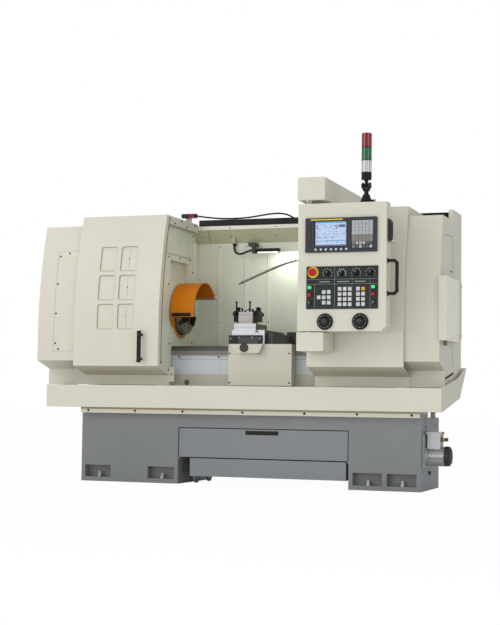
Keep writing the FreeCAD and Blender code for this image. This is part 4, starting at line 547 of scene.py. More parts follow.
cable("interlock_cable", [
    (-463.9, 260, 1652), (-425, 262, 1645), (-360, 268, 1637), (-290, 272, 1631), (-220, 272, 1629.5),
    (-150, 272, 1631), (-85, 272, 1637), (-30, 273, 1645), (20, 275, 1651.5), (68, 280, 1655),
    (112, 290, 1652), (146, 304, 1639), (180, 309, 1616), (220, 308, 1600.5),
], length=0.7, diameter=0.01, stiffness="medium", lay="hanging")
cable("lamp_cable", [
    (-219, 288, 1462.5), (-218, 287, 1437), (-206, 283, 1414), (-180, 273, 1404), (-148, 260, 1406),
    (-115, 249, 1418), (-83, 243, 1424),
], length=0.183, diameter=0.012, stiffness="stiff", lay="hanging")


# ---- covers and doors

ARC_RADIUS, ARC_FOOT, DOOR_FRONT = 2.4801, 0.88, -0.35
PANEL_SUNK, COVER_SUNK = 0.0079, 0.0228


def front_spot(x, z, inset=0.0):
    """A place on the doors' curved front, or on a cover's, set in from it."""
    rise = max(z - ARC_FOOT, 0.0)
    return Vector((x, DOOR_FRONT + ARC_RADIUS - math.sqrt((ARC_RADIUS - inset) ** 2 - rise ** 2), z))


def front_way(z):
    """The outward direction of the curved front at a height."""
    rise = max(z - ARC_FOOT, 0.0) / ARC_RADIUS
    return Vector((0.0, -math.sqrt(1 - rise * rise), rise))


def upright(kit, x, low, high, count, inset, wide, thick):
    """A ribbon up the curved front."""
    kit.strip([front_spot(x, z, inset) for z in evenly(low, high, count)], wide, RIGHT, thick)


def level(kit, low, high, z, inset, wide, thick):
    """A ribbon along the curved front."""
    kit.strip([front_spot(low, z, inset), front_spot(high, z, inset)], wide, (0.0, 0.1, 1.0), thick)


def cover_screws():
    kit = screw_kit("access_panel_screws")
    for x, z in ((-1.077, 1.372), (-1.136, 1.352), (-1.138, 1.182), (-1.138, 1.002), (-1.138, 0.821),
                 (-1.117, 0.787), (-0.95, 1.372), (-0.95, 0.787)):
        kit.screw(front_spot(x, z, 0.023), front_way(z), 0.0055)
    kit = Kit("access_panel_outline", "frame", "cream_paint", "edge")
    low, high = 0.7745, 1.3845
    upright(kit, -1.1488, low, high, 12, COVER_SUNK, 0.0016, 0.0006)
    for z in (low, high):
        level(kit, -1.1488, -1.004, z, COVER_SUNK, 0.0018, 0.0006)


def door_trim():
    """The middle seam and small screws of the door's sunk panels, painted shade in strips round the inside of
    each panel, and the door's edge screws.
    """
    lines = (0.903, 1.077, 1.251)  # the foot of each row of panels
    kit = screw_kit("left_door_screws", "left_door")
    for low in lines:
        z = low + 0.076
        kit.screw(front_spot(-0.667, z, 0.0078), front_way(z), 0.0032)
    kit.screws(X, -0.452, 1, 0.0058, ((-0.205, 1.578), (-0.02, 1.58), (0.2, 1.58), (-0.12, 1.556),
                                      (0.06, 1.556)))
    kit.screws(X, -0.452, 1, 0.006, ((-0.19, 0.668), (-0.3, 0.708)))
    kit.screw((-0.437, -0.1716, 0.64), FRONT, 0.005)
    kit = Kit("left_door_seam_and_panel_shade", "left_door", "cream_paint", "edge")
    for low in lines:
        upright(kit, -0.667, low + 0.014, low + 0.138, 6, 0.0082, 0.0018, 0.001)
    # painted shade: dark strips round the inside edges of each sunk panel, wider on the left and at the top
    for left in (-0.854, -0.721):
        for low in lines:
            for x, wide in ((left + 0.0026, 0.004), (left + 0.1056, 0.003)):
                upright(kit, x, low + 0.004, low + 0.148, 6, PANEL_SUNK, wide, 0.0008)
            for z, tall in ((low + 0.0028, 0.0036), (low + 0.149, 0.005)):
                level(kit, left + 0.002, left + 0.106, z, PANEL_SUNK, tall, 0.0008)


def edge_strips():
    """The rubber seals on the doors' closing edges and the plain joint strips on the covers."""
    for body, x in (("left_door", -0.4535), ("right_door", 0.4615)):
        kit = Kit(body + "_seal", body, "black_rubber", "rubber")
        upright(kit, x, 0.7, 1.58, 16, 0.0475, 0.005, 0.006)
    kit = Kit("right_cover_seams", "frame", "cream_paint", "recess dark_steel")
    face = 1.2132
    slope = zip(evenly(-0.195, 0.046, 4), evenly(1.437, 1.449, 4))
    kit.strip([(face, y, z) for y, z in slope], 0.0022, UP, 0.0006)
    for low, high in ((0.7, 0.832), (1.19, 1.449)):
        kit.box((face - 0.0004, 0.049, low), (face + 0.0004, 0.0512, high))
    kit.screws(X, 1.213, 1, 0.0042, ((-0.032, 1.243), (-0.006, 1.243), (0.02, 1.243)), 1, 0)
    kit = Kit("right_cover_slot", "frame", "black_rubber", "rubber")
    kit.box((1.2128, -0.156, 0.64), (1.215, 0.076, 0.652), 0, 0.0008, Matrix.Rotation(0.155, 3, "X"))


def handle_trim():
    kit = Kit("left_door_handle_caps", "left_door", "black_plastic", "black_gloss dark_steel")
    for z in (0.705, 0.885):
        kit.box((-0.5705, -0.3965, z), (-0.5455, -0.3815, z + 0.0068), 0, 0.002)
    for z in (0.727, 0.87):
        kit.rod((-0.558, -0.396, z), FRONT, 0.0006, 0.005, 1, 16)


SEAMS, SEAM_WIDE = (-0.33, -0.15, -0.002, 0.52, 0.82), 0.022


def wall_trim():
    """The work area's screws, the joints between its sheets, and painted highlights along the edges of the
    seam covers.
    """
    kit = screw_kit("work_area_screws")
    kit.screws(X, -0.475, 1, 0.0058, ((-0.158, 1.352), (0.02, 1.357), (0.185, 1.362), (-0.15, 1.185),
                                      (0.185, 1.185), (-0.127, 0.827)))
    kit.screws(X, -0.472, 1, 0.0058, [(0.225, z) for z in (1.518, 1.288, 1.061, 0.848)])
    kit.screws(X, -0.471, 1, 0.0042, [wheel(SPINDLE_Y, SPINDLE_Z, 0.1395, math.radians(angle))
                                      for angle in range(35, 360, 60)])
    kit.screws(Y, 0.3045, -1, 0.0036, [(x + SEAM_WIDE / 2, z) for x in SEAMS for z in (0.98, 1.456)])
    header_way = (0, -0.879, -0.477)
    for x in (-0.43, -0.24, 0.06, 0.3, 0.7, 1.0):
        kit.screw((x, 0.2835, 1.5183), header_way, 0.0042)
        kit.screw((x, 0.262, 1.571), FRONT, 0.0036)
    kit = Kit("work_area_seams", "frame", "inner_paint", "recess cream_matt edge sheet_edge")
    kit.box((-0.4752, -0.255, 1.3705), (-0.4742, 0.198, 1.3725))
    foot, top = 0.83, 1.472
    for x in SEAMS:
        kit.box((x - 0.003, 0.3046, foot), (x, 0.3066, top), 2)
        # painted highlights: light strips along both edges of each seam cover
        for low, high in ((x, x + 0.0066), (x + SEAM_WIDE - 0.005, x + SEAM_WIDE)):
            kit.box((low, 0.3038, foot), (high, 0.3046, top), 3, 0.0003)
    for x in (-0.386, 0.3, 0.66):
        kit.strip([(x, 0.3065, 1.4755), (x, 0.2845, 1.516), (x, 0.2616, 1.5575)], 0.0022, RIGHT, 0.0006)
    kit.box((-0.474, 0.2585, 1.5575), (1.186, 0.2622, 1.561), 1, 0.0012)
    kit = Kit("hatch_cover", "frame", "inner_paint", "cream")
    kit.box((-0.5035, -0.122, 1.208), (-0.5005, 0.166, 1.33), 0, 0.0012)


# ---- chuck, carriage and tools

def chuck_trim():
    """The chuck's rings, the jaws' serrations and the rim and rivets of the guard."""
    kit = Kit("chuck_rings", "spindle", "dark_steel", "recess bright")
    centre = (-0.433, SPINDLE_Y, SPINDLE_Z)
    kit.ring(centre, RIGHT, 0.0392, 0.0022, 1, 48, 0, 0.0042)
    for radius in (0.058, 0.104):
        kit.ring(centre, RIGHT, radius + 0.0008, 0.0016, 0, 64, 0.0018, 0.0023)
    for back in (-0.52, -0.462):
        kit.lathe((back, SPINDLE_Y, SPINDLE_Z), RIGHT,
                  [(0, 0.1206), (0.0012, 0.1224), (0.0034, 0.1224), (0.0046, 0.1206)], 0, 72)
    for number, angle in enumerate(turns(3), 1):
        kit = Kit("jaw_%d_steps" % number, "jaw_%d" % number, "dark_steel", "jaw recess")
        for step in range(9):
            low = 0.052 + 0.0062 * step
            kit.box((-0.4306, -0.0146, low), (-0.4215 if step > 6 else -0.409, 0.0146, low + 0.0018), 1)
        for long, low in ((-0.397, 0.057), (-0.409, 0.079)):
            kit.rod((long - 0.0004, 0, low), RIGHT, 0.0009, 0.0046, 1, 20)
        for spot in kit.form.verts:
            spot.co = Matrix.Rotation(angle, 4, "X") @ spot.co + Vector((0, SPINDLE_Y, SPINDLE_Z))
    kit = Kit("chuck_guard_trim", "chuck_guard", "orange_paint", "orange dark_steel recess")
    kit.screws(Y, -0.144, -1, 0.0035, [(x, 1.0005) for x in (-0.445, -0.41, -0.375, -0.345)], 1, 2)
    rim = [(-0.3145, *wheel(SPINDLE_Y, SPINDLE_Z, 0.1902, math.radians(a))) for a in evenly(180, 35, 36)]
    kit.strip(rim, 0.004, RIGHT, 0.0022)


def carriage_trim():
    kit = screw_kit("apron_screws", "carriage")
    kit.screws(Y, -0.162, -1, 0.0052, ((-0.072, 0.7665), (0.112, 0.7665), (0.298, 0.7665), (-0.072, 0.596),
                                       (0.298, 0.596)))
    kit.screws(Z, 0.822, 1, 0.0052, [(x, -0.1505) for x in (-0.055, 0.2, 0.26, 0.3)])
    kit = Kit("saddle_nose_trim", "carriage", "black_plastic", "black_gloss")
    kit.lathe((0.031, -0.2002, 0.799), FRONT, [(-0.001, 0.0262), (0.005, 0.0262), (0.0086, 0.024),
                                               (0.0086, 0.019), (0.008, 0.0185), (0.008, 0.0)], 0, 36)
    kit = Kit("saddle_wipers", "carriage", "black_rubber", "rubber dark_steel")
    for x, out in ((-0.08, -1), (0.312, 1)):
        for low, high in ((-0.093, 0.004), (0.096, 0.193)):
            a, b = sorted((x, x + out * 0.007))
            kit.box((a, low, 0.8145), (b, high, 0.8255), 0, 0.0015)
            kit.screw((x + out * 0.007, (low + high) / 2, 0.8203), (out, 0, 0), 0.0028, 1, 1)
    kit = screw_kit("cross_slide_screws", "cross_slide", "bright")
    kit.screws(Y, -0.172, -1, 0.0042, ((-0.064, 0.853), (-0.012, 0.861), (0.07, 0.861), (0.118, 0.853)), 2)
    kit.screws(Z, 0.946, 1, 0.0058, [(x, y) for x in (-0.048, 0.052) for y in (-0.082, 0.094)])
    kit.screws(X, -0.059, -1, 0.0045, [(y, 0.887) for y in (-0.13, -0.04, 0.05, 0.14)])
    kit.screws(Z, 0.905, 1, 0.004, [(x, -0.145) for x in (-0.05, 0.075, 0.135)])
    kit.box((-0.0702, -0.0985, 0.925), (0.0662, -0.0976, 0.9262), 1)


def tool_trim():
    """The post's joint lines and nut, the holders' grooves, screws and tips, and the tailstock's collar."""
    kit = Kit("tool_post_trim", "cross_slide", "machined_steel", "recess bright")
    for z in (0.9585, 0.9985):
        kit.box((-0.0502, -0.0872, z), (0.0442, 0.0072, z + 0.0014))
    for z, points, sides in ((1.017, [(0, 0.0205), (0.003, 0.0205), (0.0045, 0.019), (0.0045, 0.012)], 32),
                             (1.038, [(0, 0.0095), (0.004, 0.0085), (0.0055, 0.0)], 24)):
        kit.lathe((-0.003, -0.04, z), UP, points, 1, sides)
    kit = Kit("tool_post_bolts", "cross_slide", "dark_steel", "black_metal")
    foot = 1.0165
    for x, y, high in ((-0.032, -0.066, 0.024), (0.036, -0.07, 0.018), (0.036, -0.01, 0.016),
                       (-0.032, -0.01, 0.016)):
        kit.rod((x, y, foot), UP, high, 0.0042, 0, 16)
        kit.lathe((x, y, foot + high), UP, [(-0.009, 0.0066), (-0.001, 0.0066), (0.0, 0.0055)], 0, 6)
    kit = Kit("tool_tips", "cross_slide", "machined_steel", "brass recess dark_steel")
    for low, x, middle in ((-0.08, -0.0695, -0.068), (0.044, 0.0635, 0.062)):
        kit.box((x - 0.0062, 0.026, 1.0125), (x + 0.0062, 0.036, 1.0168), 0, 0.001)
        kit.rod((x, 0.031, 1.0168), UP, 0.001, 0.0022, 1, 12)
        for z in (0.972, 0.986):
            kit.box((low - 0.0003, -0.0803, z), (low + 0.0303, 0.0003, z + 0.0012), 1)
        for y in (-0.066, -0.04, -0.014):
            kit.rod((middle, y, 1.0228), UP, 0.005, 0.0072, 2, 6)
    kit = Kit("tailstock_trim", "tailstock", "machined_steel", "bright recess dark_steel")
    kit.lathe((0.7795, SPINDLE_Y, SPINDLE_Z), RIGHT,
              [(0.0, 0.0335), (-0.004, 0.0345), (-0.004, 0.044), (0.001, 0.046)], 0, 40)
    kit.screws(Y, -0.086, -1, 0.007, ((0.8, 0.834), (0.985, 0.834)), 2, 1)


# ---- pendant

DISPLAY_FACE, PANEL_FACE = -0.587, -0.58
ARROW_KEYS = ((1, 1), (2, 0), (2, 1), (3, 1), (5, 0))
STOP_X, STOP_Z = 0.565, 1.196
KNOBS, KNOB_Z = (0.646, 0.7267, 0.8074, 0.8881), 1.19
WHEELS, WHEEL_Z = (0.634, 0.832), 0.926
TOWER_X, TOWER_Y = 0.848, -0.53


def plate(kit, low, high, face, front, back, look, bevel=0.0):
    """A thin plate from (x, z) to (x, z), standing out from a face that looks to the front."""
    kit.box((low[0], face - front, low[1]), (high[0], face + back, high[1]), look, bevel)


def frame_of(kit, face, front, bevel, bars):
    for a, b, c, d in bars:
        plate(kit, (a, b), (c, d), face, front, 0.001, 0, bevel)


def display_trim():
    """The lit screen with its bands of colour, the frames, the round keys' faces and the keypad's caps."""
    kit = Kit("display_screen", "pendant", "black_plastic", "screen screen_band ink")
    face = DISPLAY_FACE + 0.0044
    kit.box((0.5755, face, 1.3405), (0.7505, face + 0.002, 1.4745), 0)
    for low, high, look in ((1.467, 1.4735, 1), (1.366, 1.3695, 1), (1.3415, 1.347, 2)):
        plate(kit, (0.5765, low), (0.7495, high), face, 0.0006, 0.001, look)
    for z, marks in ((1.448, (0.582, 0.68, 0.695)), (1.436, (0.582, 0.69)),
                     (1.384, (0.585, 0.63, 0.67))):
        for x in marks:
            plate(kit, (x, z), (x + 0.0105, z + 0.0052), face, 0.0006, 0.001, 2)
    plate(kit, (0.71, 1.443), (0.744, 1.457), face, 0.0006, 0.001, 2)
    kit = Kit("display_trim", "pendant", "black_plastic", "bezel_dark bezel yellow key recess")
    frame_of(kit, DISPLAY_FACE, 0.0016, 0.0008, (
        (0.57, 1.335, 0.756, 1.3385), (0.57, 1.4765, 0.756, 1.48),
        (0.57, 1.335, 0.5737, 1.48), (0.7523, 1.335, 0.756, 1.48)))
    plate(kit, (0.55, 1.4818), (0.732, 1.4885), DISPLAY_FACE, 0.0004, 0.0005, 2)
    for i in range(7):
        kit.lathe((0.58 + 0.0289 * i, DISPLAY_FACE - 0.0022, 1.321), FRONT,
                  [(0, 0.0066), (0.0012, 0.0062), (0.0018, 0.0048), (0.0014, 0.0)], 3, 24)
    plate(kit, (0.529, 1.352), (0.551, 1.46), DISPLAY_FACE, 0.0034, -0.0016, 1, 0.0008)
    for z in (1.36, 1.448):
        plate(kit, (0.533, z), (0.547, z + 0.004), DISPLAY_FACE, 0.004, -0.003, 4)
    frame_of(kit, DISPLAY_FACE, 0.0009, 0.0004, (
        (0.78, 1.32, 0.783, 1.479), (0.902, 1.32, 0.905, 1.479),
        (0.78, 1.318, 0.905, 1.3205), (0.78, 1.477, 0.905, 1.48)))
    for x in (0.5245, 0.9185):
        for z in (1.3105, 1.4895):
            kit.rod((x, DISPLAY_FACE, z), FRONT, 0.001, 0.0032, 4, 16)
    kit = Kit("display_keys", "pendant", "black_plastic", "keypad keypad_low key_dark")
    wide, tall, gap = 0.117 / 6, 0.151 / 8, 0.0016
    for column in range(6):
        for line in range(8):
            x, z = 0.784 + column * wide, 1.324 + line * tall
            look = 1 if line in (2, 3) or (column, line) in ((0, 0), (0, 1)) else 0
            if line < 2 and column > 0 and (column, line) not in ARROW_KEYS:
                look = 2
            plate(kit, (x + gap, z + gap), (x + wide - gap, z + tall - gap), DISPLAY_FACE, 0.0032, 0.0005,
                  look, 0.001)


def key_spots():
    """The middles of the panel's square keys."""
    pitch = 0.0285
    spots = [(0.627 + x * pitch, 1.001 + z * 0.029)
             for x, z in ((0, 3), (1, 3), (-1, 2), (0, 2), (1, 2), (0, 1), (1, 1))]
    for left, columns in ((0.717, 3), (0.82, 2)):
        spots += [(left + x * pitch, 1.02 + z * 0.028) for x in range(columns) for z in range(4)]
    return spots


def block(kit, x, z, wide, tall, front, back, look, bevel=0.0):
    """A block standing out from the panel about a middle, by half its width and height."""
    plate(kit, (x - wide, z - tall), (x + wide, z + tall), PANEL_FACE, front, back, look, bevel)


def marked(kit, x, z, y, reach, angle, half, long, deep):
    """A mark of a round scale, turned to point at the middle."""
    a, b = dial(x, z, reach, angle)
    kit.box((a - half, y, b - long), (a + half, y + deep, b + long), 0, 0.0, Matrix.Rotation(angle, 3, "Y"))


def panel_trim():
    """Key caps, buttons, key switches, scales and dividing lines on the operator panel."""
    kit = Kit("panel_keys", "pendant", "black_plastic", "key key_orange key_dark recess")
    for number, (x, z) in enumerate(key_spots()):
        block(kit, x, z, 0.0122, 0.0122, 0.0012, 0.0005, 3)
        block(kit, x, z, 0.0113, 0.0113, 0.0046, 0.0002, 1 if x > 0.84 and z > 1.1 else 0, 0.0016)
        if number % 3 == 0:
            block(kit, x, z + 0.00585, 0.0035, 0.00135, 0.005, -0.0044, 2)
    kit = Kit("panel_buttons", "pendant", "black_plastic", "bright red lit_green black_gloss")
    sides = (0.547, 0.905)
    for x in sides:
        for z, look in ((1.113, 2), (1.074, 1)):
            block(kit, x, z, 0.0118, 0.0102, 0.006, 0.001, 3, 0.0012)
            block(kit, x, z, 0.01, 0.0088, 0.0132, -0.004, look, 0.0016)
    for x in sides:
        kit.lathe((x, PANEL_FACE, 1.03), FRONT,
                  [(-0.001, 0.0125), (0.003, 0.0125), (0.0085, 0.0106), (0.0085, 0.0)], 3, 28)
        kit.lathe((x, PANEL_FACE - 0.0082, 1.03), FRONT, [(0, 0.0062), (0.002, 0.0058), (0.002, 0.0)], 0, 20)
        block(kit, x, 1.029, 0.0013, 0.0085, 0.0245, -0.008, 0, 0.0006)
    kit = Kit("panel_scales", "pendant", "black_plastic", "white line yellow")
    y = PANEL_FACE - 0.0005
    for number, x in enumerate(KNOBS):
        last = 12 - 2 * (number % 2)
        for i, degrees in enumerate(evenly(-120, 120, last)):
            reach, long = ((0.0262, 0.0034), (0.025, 0.002))[i % 2]
            marked(kit, x, KNOB_Z, y, reach, math.radians(degrees), 0.0007, long, 0.0008)
    arc = [dial(KNOBS[1], KNOB_Z, 0.0205, math.radians(degrees)) for degrees in evenly(-125, 125, 24)]
    kit.strip([placed(Y, y, pair) for pair in arc], 0.0008, FRONT, 0.0014)
    line, deep = 0.0014, 0.0008
    for z in (1.157, 1.131):
        kit.box((0.53, y, z), (0.926, y + deep, z + line), 1)
    for x, high in ((0.573, 1.13), (0.686, 1.225), (0.785, 1.157), (0.885, 1.157)):
        kit.box((x, y, 1.0), (x + line, y + deep, high), 1)
    for x, wide in ((0.6, 0.06), (0.7, 0.07), (0.8, 0.06)):
        kit.box((x, y, 1.1415), (x + wide, y + 0.0006, 1.1465), 1)
    kit.lathe((STOP_X, PANEL_FACE - 0.0038, STOP_Z), FRONT,
              [(0, 0.0312), (0.001, 0.0305), (0.0012, 0.01)], 2, 48)
    for number, x in enumerate(KNOBS, 1):
        body = "mode_knob_%d" % number
        kit = Kit(body + "_mark", body, "black_plastic", "white black_gloss")
        block(kit, x, 1.19715, 0.0008, 0.00465, 0.0214, -0.0208, 0)
        kit.lathe((x, PANEL_FACE - 0.001, KNOB_Z), FRONT,
                  [(0, 0.0166), (0.0016, 0.0166), (0.0026, 0.0154)], 1, 36)
    for number, x in enumerate(WHEELS, 1):
        body = "hand_wheel_%d" % number
        kit = Kit(body + "_scale", body, "black_plastic", "white black_gloss")
        for i, angle in enumerate(turns(40)):
            long, half = (0.0013, 0.0004) if i % 4 else (0.003, 0.0009)
            marked(kit, x, WHEEL_Z, -0.5931, 0.0335, angle, half, long, 0.0012)
        for angle in turns(24):
            kit.rod(placed(Y, -0.588, dial(x, WHEEL_Z, 0.0382, angle)), FRONT, 0.0036, 0.0014, 1, 8)
        kit.lathe((x, -0.6, WHEEL_Z), FRONT,
                  [(-0.0002, 0.015), (0.0012, 0.0145), (0.0012, 0.01), (0.0006, 0.0)], 1, 36)
        kit = Kit("hand_wheel_ring_%d" % number, "pendant", "black_plastic", "black")
        kit.lathe((x, PANEL_FACE, WHEEL_Z), FRONT,
                  [(0.0, 0.0455), (0.0032, 0.0455), (0.0046, 0.044), (0.0046, 0.0425)],
                  0, 56)


def stop_trim():
    """The stop button's crown with its grip ribs."""
    kit = Kit("e_stop_crown", "e_stop", "red_plastic", "red")
    kit.lathe((STOP_X, -0.6036, STOP_Z), FRONT,
              [(0, 0.0204), (0.003, 0.021), (0.006, 0.0206), (0.0078, 0.018), (0.0078, 0.0)], 0, 40)
    for angle in turns(20):
        kit.rod(placed(Y, -0.5945, dial(STOP_X, STOP_Z, 0.0207, angle)), FRONT, 0.0088, 0.001, 0, 8)


def pendant_trim():
    """The pendant's side port, rear cover, screws and the pull's end plates."""
    kit = Kit("pendant_port", "pendant", "black_plastic", "bezel bright recess")
    for low, high, look, bevel in (((0.9788, -0.566, 1.362), (0.985, -0.496, 1.486), 0, 0.0024),
                                   ((0.9845, -0.56, 1.374), (0.9945, -0.506, 1.476), 0, 0.0036),
                                   ((0.9938, -0.552, 1.386), (0.9952, -0.514, 1.464), 2, 0.0006)):
        kit.box(low, high, look, bevel)
    kit.lathe((0.984, -0.508, 1.369), RIGHT,
              [(0, 0.0078), (0.012, 0.0078), (0.015, 0.006), (0.015, 0.0)], 1, 20)
    kit = screw_kit("pendant_screws", "pendant", "cream_matt")
    kit.box((0.58, -0.4852, 0.93), (0.95, -0.483, 1.54), 2, 0.0008)
    kit.screws(Y, -0.483, 1, 0.0035, [(x, z) for x in (0.592, 0.938) for z in (0.942, 1.528)])
    kit = Kit("pendant_handle_feet", "pendant", "black_plastic", "black_gloss")
    for low in (1.064, 1.243):
        kit.box((0.9742, -0.558, low), (0.979, -0.532, low + 0.028), 0, 0.0016)


def tower_trim():
    """The dark rings between the tower's lenses, its cap, the clamp knob and the joint at its foot."""
    kit = Kit("tower_rings", "tower", "black_plastic", "black_gloss")
    for z in (1.744, 1.812, 1.883):
        kit.lathe((TOWER_X, TOWER_Y, z - 0.0022), UP,
                  [(0, 0.0268), (0.0, 0.0284), (0.0044, 0.0284), (0.0044, 0.0268)], 0, 48)
    kit.lathe((TOWER_X, TOWER_Y, 1.959), UP, [(0, 0.0262), (0.0025, 0.0255), (0.003, 0.0)], 0, 48)
    kit = Kit("tower_clamp", "pendant", "machined_steel", "bright")
    kit.lathe((0.893, TOWER_Y, 1.589), RIGHT,
              [(0, 0.0078), (0.0014, 0.0088), (0.0078, 0.0088), (0.0092, 0.0074),
                                                (0.0092, 0.0)], 0, 20)
    kit = Kit("tower_joint", "pendant", "black_plastic", "black_gloss black")
    for out in (-1, 1):
        kit.lathe((TOWER_X + out * 0.0182, TOWER_Y, 1.673), (out, 0, 0),
                  [(0, 0.0205), (0.003, 0.019), (0.006, 0.0162), (0.0084, 0.012), (0.0098, 0.007),
                   (0.0102, 0.0)], 0, 36)
    kit.box((0.8384, -0.5405, 1.6532), (0.8576, -0.5195, 1.658), 1, 0.0008)
    kit.lathe((TOWER_X, TOWER_Y, 1.5772), UP, [(0, 0.0345), (0.004, 0.0345), (0.012, 0.0318), (0.026, 0.025),
                                               (0.04, 0.0205), (0.046, 0.0195), (0.048, 0.012)], 1, 48)


# ---- stand, pan, boxes and pump

def bed_trim():
    """The line under the bed's front way and the screws along it."""
    kit = Kit("bed_line", "frame", "cast_paint", "dark_steel recess")
    kit.box((-0.474, -0.0906, 0.7348), (1.1, -0.0898, 0.7362), 0)
    kit.screws(Y, -0.09, -1, 0.0052, [(x, 0.7495) for x in (-0.424, -0.17, 0.4, 0.66, 0.92)])


def stand_trim():
    kit = screw_kit("pan_strip_screws")
    along = (-0.897, -0.594, -0.291, 0.079, 0.45, 0.756, 1.066)
    kit.screws(Y, -0.345, -1, 0.0066, [(x, 0.4215) for x in along], 1)
    kit.screws(X, 1.108, 1, 0.0052, ((-0.18, 0.36), (0.07, 0.36)))
    kit = Kit("stand_side_bolt", "frame", "dark_steel", "dark_steel")
    kit.lathe((1.108, -0.071, 0.097), RIGHT,
              [(0, 0.014), (0.002, 0.014), (0.0022, 0.0105), (0.009, 0.0105)], 0, 6)
    kit = Kit("stand_seams", "frame", "grey_paint", "grey_light")
    for low, high in ((-0.957, -0.338), (0.698, 1.106)):
        kit.box((low, -0.2966, 0.401), (high, -0.2958, 0.4062))
    kit = Kit("pan_rim", "frame", "cream_paint", "cream")
    kit.box((-1.1645, -0.3668, 0.5645), (1.2345, -0.356, 0.5715), 0, 0.0016)
    kit.box((-1.161, -0.364, 0.44), (1.231, -0.3635, 0.4424), 0)
    kit = Kit("drawer_pull", "chip_drawer", "grey_paint", "grey_light recess")
    kit.box((0.08, -0.293, 0.293), (0.28, -0.2912, 0.317), 1, 0.0008)
    for left in (-0.329, 0.675):
        kit.box((left, -0.2935, 0.16), (left + 0.014, -0.2915, 0.323), 0, 0.0008)
    kit.box((-0.329, -0.2938, 0.1582), (0.689, -0.2912, 0.168), 0, 0.001)
    kit = Kit("tank_casters", "coolant_tank", "black_rubber", "bright")
    for y in (-0.15, 0.06):
        for x, way in ((-0.282, LEFT), (0.694, RIGHT)):
            kit.lathe((x, y, 0.0405), way,
                      [(-0.0005, 0.016), (0.0015, 0.015), (0.002, 0.006), (0.004, 0.005)], 0, 24)


def box_trim():
    """The side box's lock and lid screws, and the cabinet's hinges and handles."""
    kit = screw_kit("side_box_trim", "frame", "bright")
    kit.lathe((1.2575, -0.325, 1.017), RIGHT, [(-0.002, 0.009), (0.0004, 0.009), (0.0004, 0.0)], 2, 24)
    kit.screws(X, 1.2574, 1, 0.0005, [(y, z) for y in (-0.318, -0.012) for z in (1.17, 0.857)])
    kit.screws(X, 1.25, 1, 0.005, [(y, z) for y in (0.028, 0.112) for z in (1.165, 0.88)])
    kit = Kit("cabinet_trim", "frame", "cream_paint", "black_gloss bright")
    for x in (0.745, 0.785):
        kit.box((x - 0.01, 0.6125, 1.08), (x + 0.01, 0.6137, 1.22), 0)
        kit.lathe((x, 0.6133, 1.1), BACK, [(-0.002, 0.007), (0.0006, 0.007)], 1, 20)
    for x in (0.401, 1.129):
        for z in (0.8, 1.14, 1.48):
            kit.rod((x, 0.6085, z), UP, 0.06, 0.005, 1, 16)


def arm_trim():
    kit = screw_kit("overhead_arm_screws")
    kit.screws(X, 0.468, -1, 0.0032, [(y, 1.61) for y in (-0.54, -0.3, -0.06, 0.18)])
    kit = Kit("pendant_bearings", "frame", "machined_steel", "bright")
    for z, way, points in ((0.8676, UP, [(0, 0.03), (0.003, 0.03), (0.0045, 0.028), (0.0045, 0.019)]),
                           (1.5984, DOWN, [(0, 0.03), (0.006, 0.03), (0.008, 0.028), (0.008, 0.019)])):
        kit.lathe((0.522, -0.53, z), way, points, 0, 40)


def lamp_trim():
    kit = Kit("work_lamp_tube", "work_lamp", "white_lens", "lamp_glow black_gloss")
    kit.lathe((-0.043, 0.24, 1.4135), RIGHT,
              [(0, 0.0095), (0.0, 0.0102), (0.131, 0.0102), (0.131, 0.0095)], 0, 28)
    kit.box((-0.044, 0.2335, 1.4295), (0.089, 0.2465, 1.4325), 1, 0.001)
    kit = Kit("lamp_glands", "frame", "black_metal", "black_gloss")
    kit.lathe((-0.219, 0.288, 1.469), DOWN, [(0, 0.0125), (0.003, 0.0125), (0.0045, 0.01)], 0, 6)
    kit.lathe((0.2225, 0.308, 1.6), RIGHT,
              [(0, 0.01), (0.006, 0.0115), (0.014, 0.0115), (0.014, 0.0095)], 0, 6)


NOZZLE_POINTS = [(300, 296, 1378), (272, 250, 1372), (225, 200, 1350), (163, 150, 1326), (94, 90, 1286),
                 (22, 20, 1240), (-42, -42, 1198)]
NOZZLE_RINGS = 4


def nozzle_trim():
    """The joint rings of the segmented coolant pipe, its tip and the nut at its root."""
    kit = Kit("coolant_nozzle_rings", "frame", "machined_steel", "nickel black_metal dark_steel")
    spots = [Vector(p) / 1000 for p in NOZZLE_POINTS]
    for number, (one, two) in enumerate(zip(spots, spots[1:])):
        way = (two - one).normalized()
        for i in range(0 if number else 1, NOZZLE_RINGS):
            spot = one.lerp(two, (i + 0.5) / NOZZLE_RINGS)
            kit.lathe(spot - way * 0.004, way,
                      [(0, 0.007), (0.0015, 0.0086), (0.0065, 0.0086), (0.008, 0.007)], 0, 20)
    kit.lathe(spots[-1] + way * 0.001, way, [(0, 0.0094), (0.004, 0.0094), (0.006, 0.008)], 1, 6)
    kit.lathe((0.3, 0.2932, 1.378), FRONT, [(0, 0.016), (0.004, 0.016), (0.006, 0.014), (0.006, 0.008)], 2, 6)


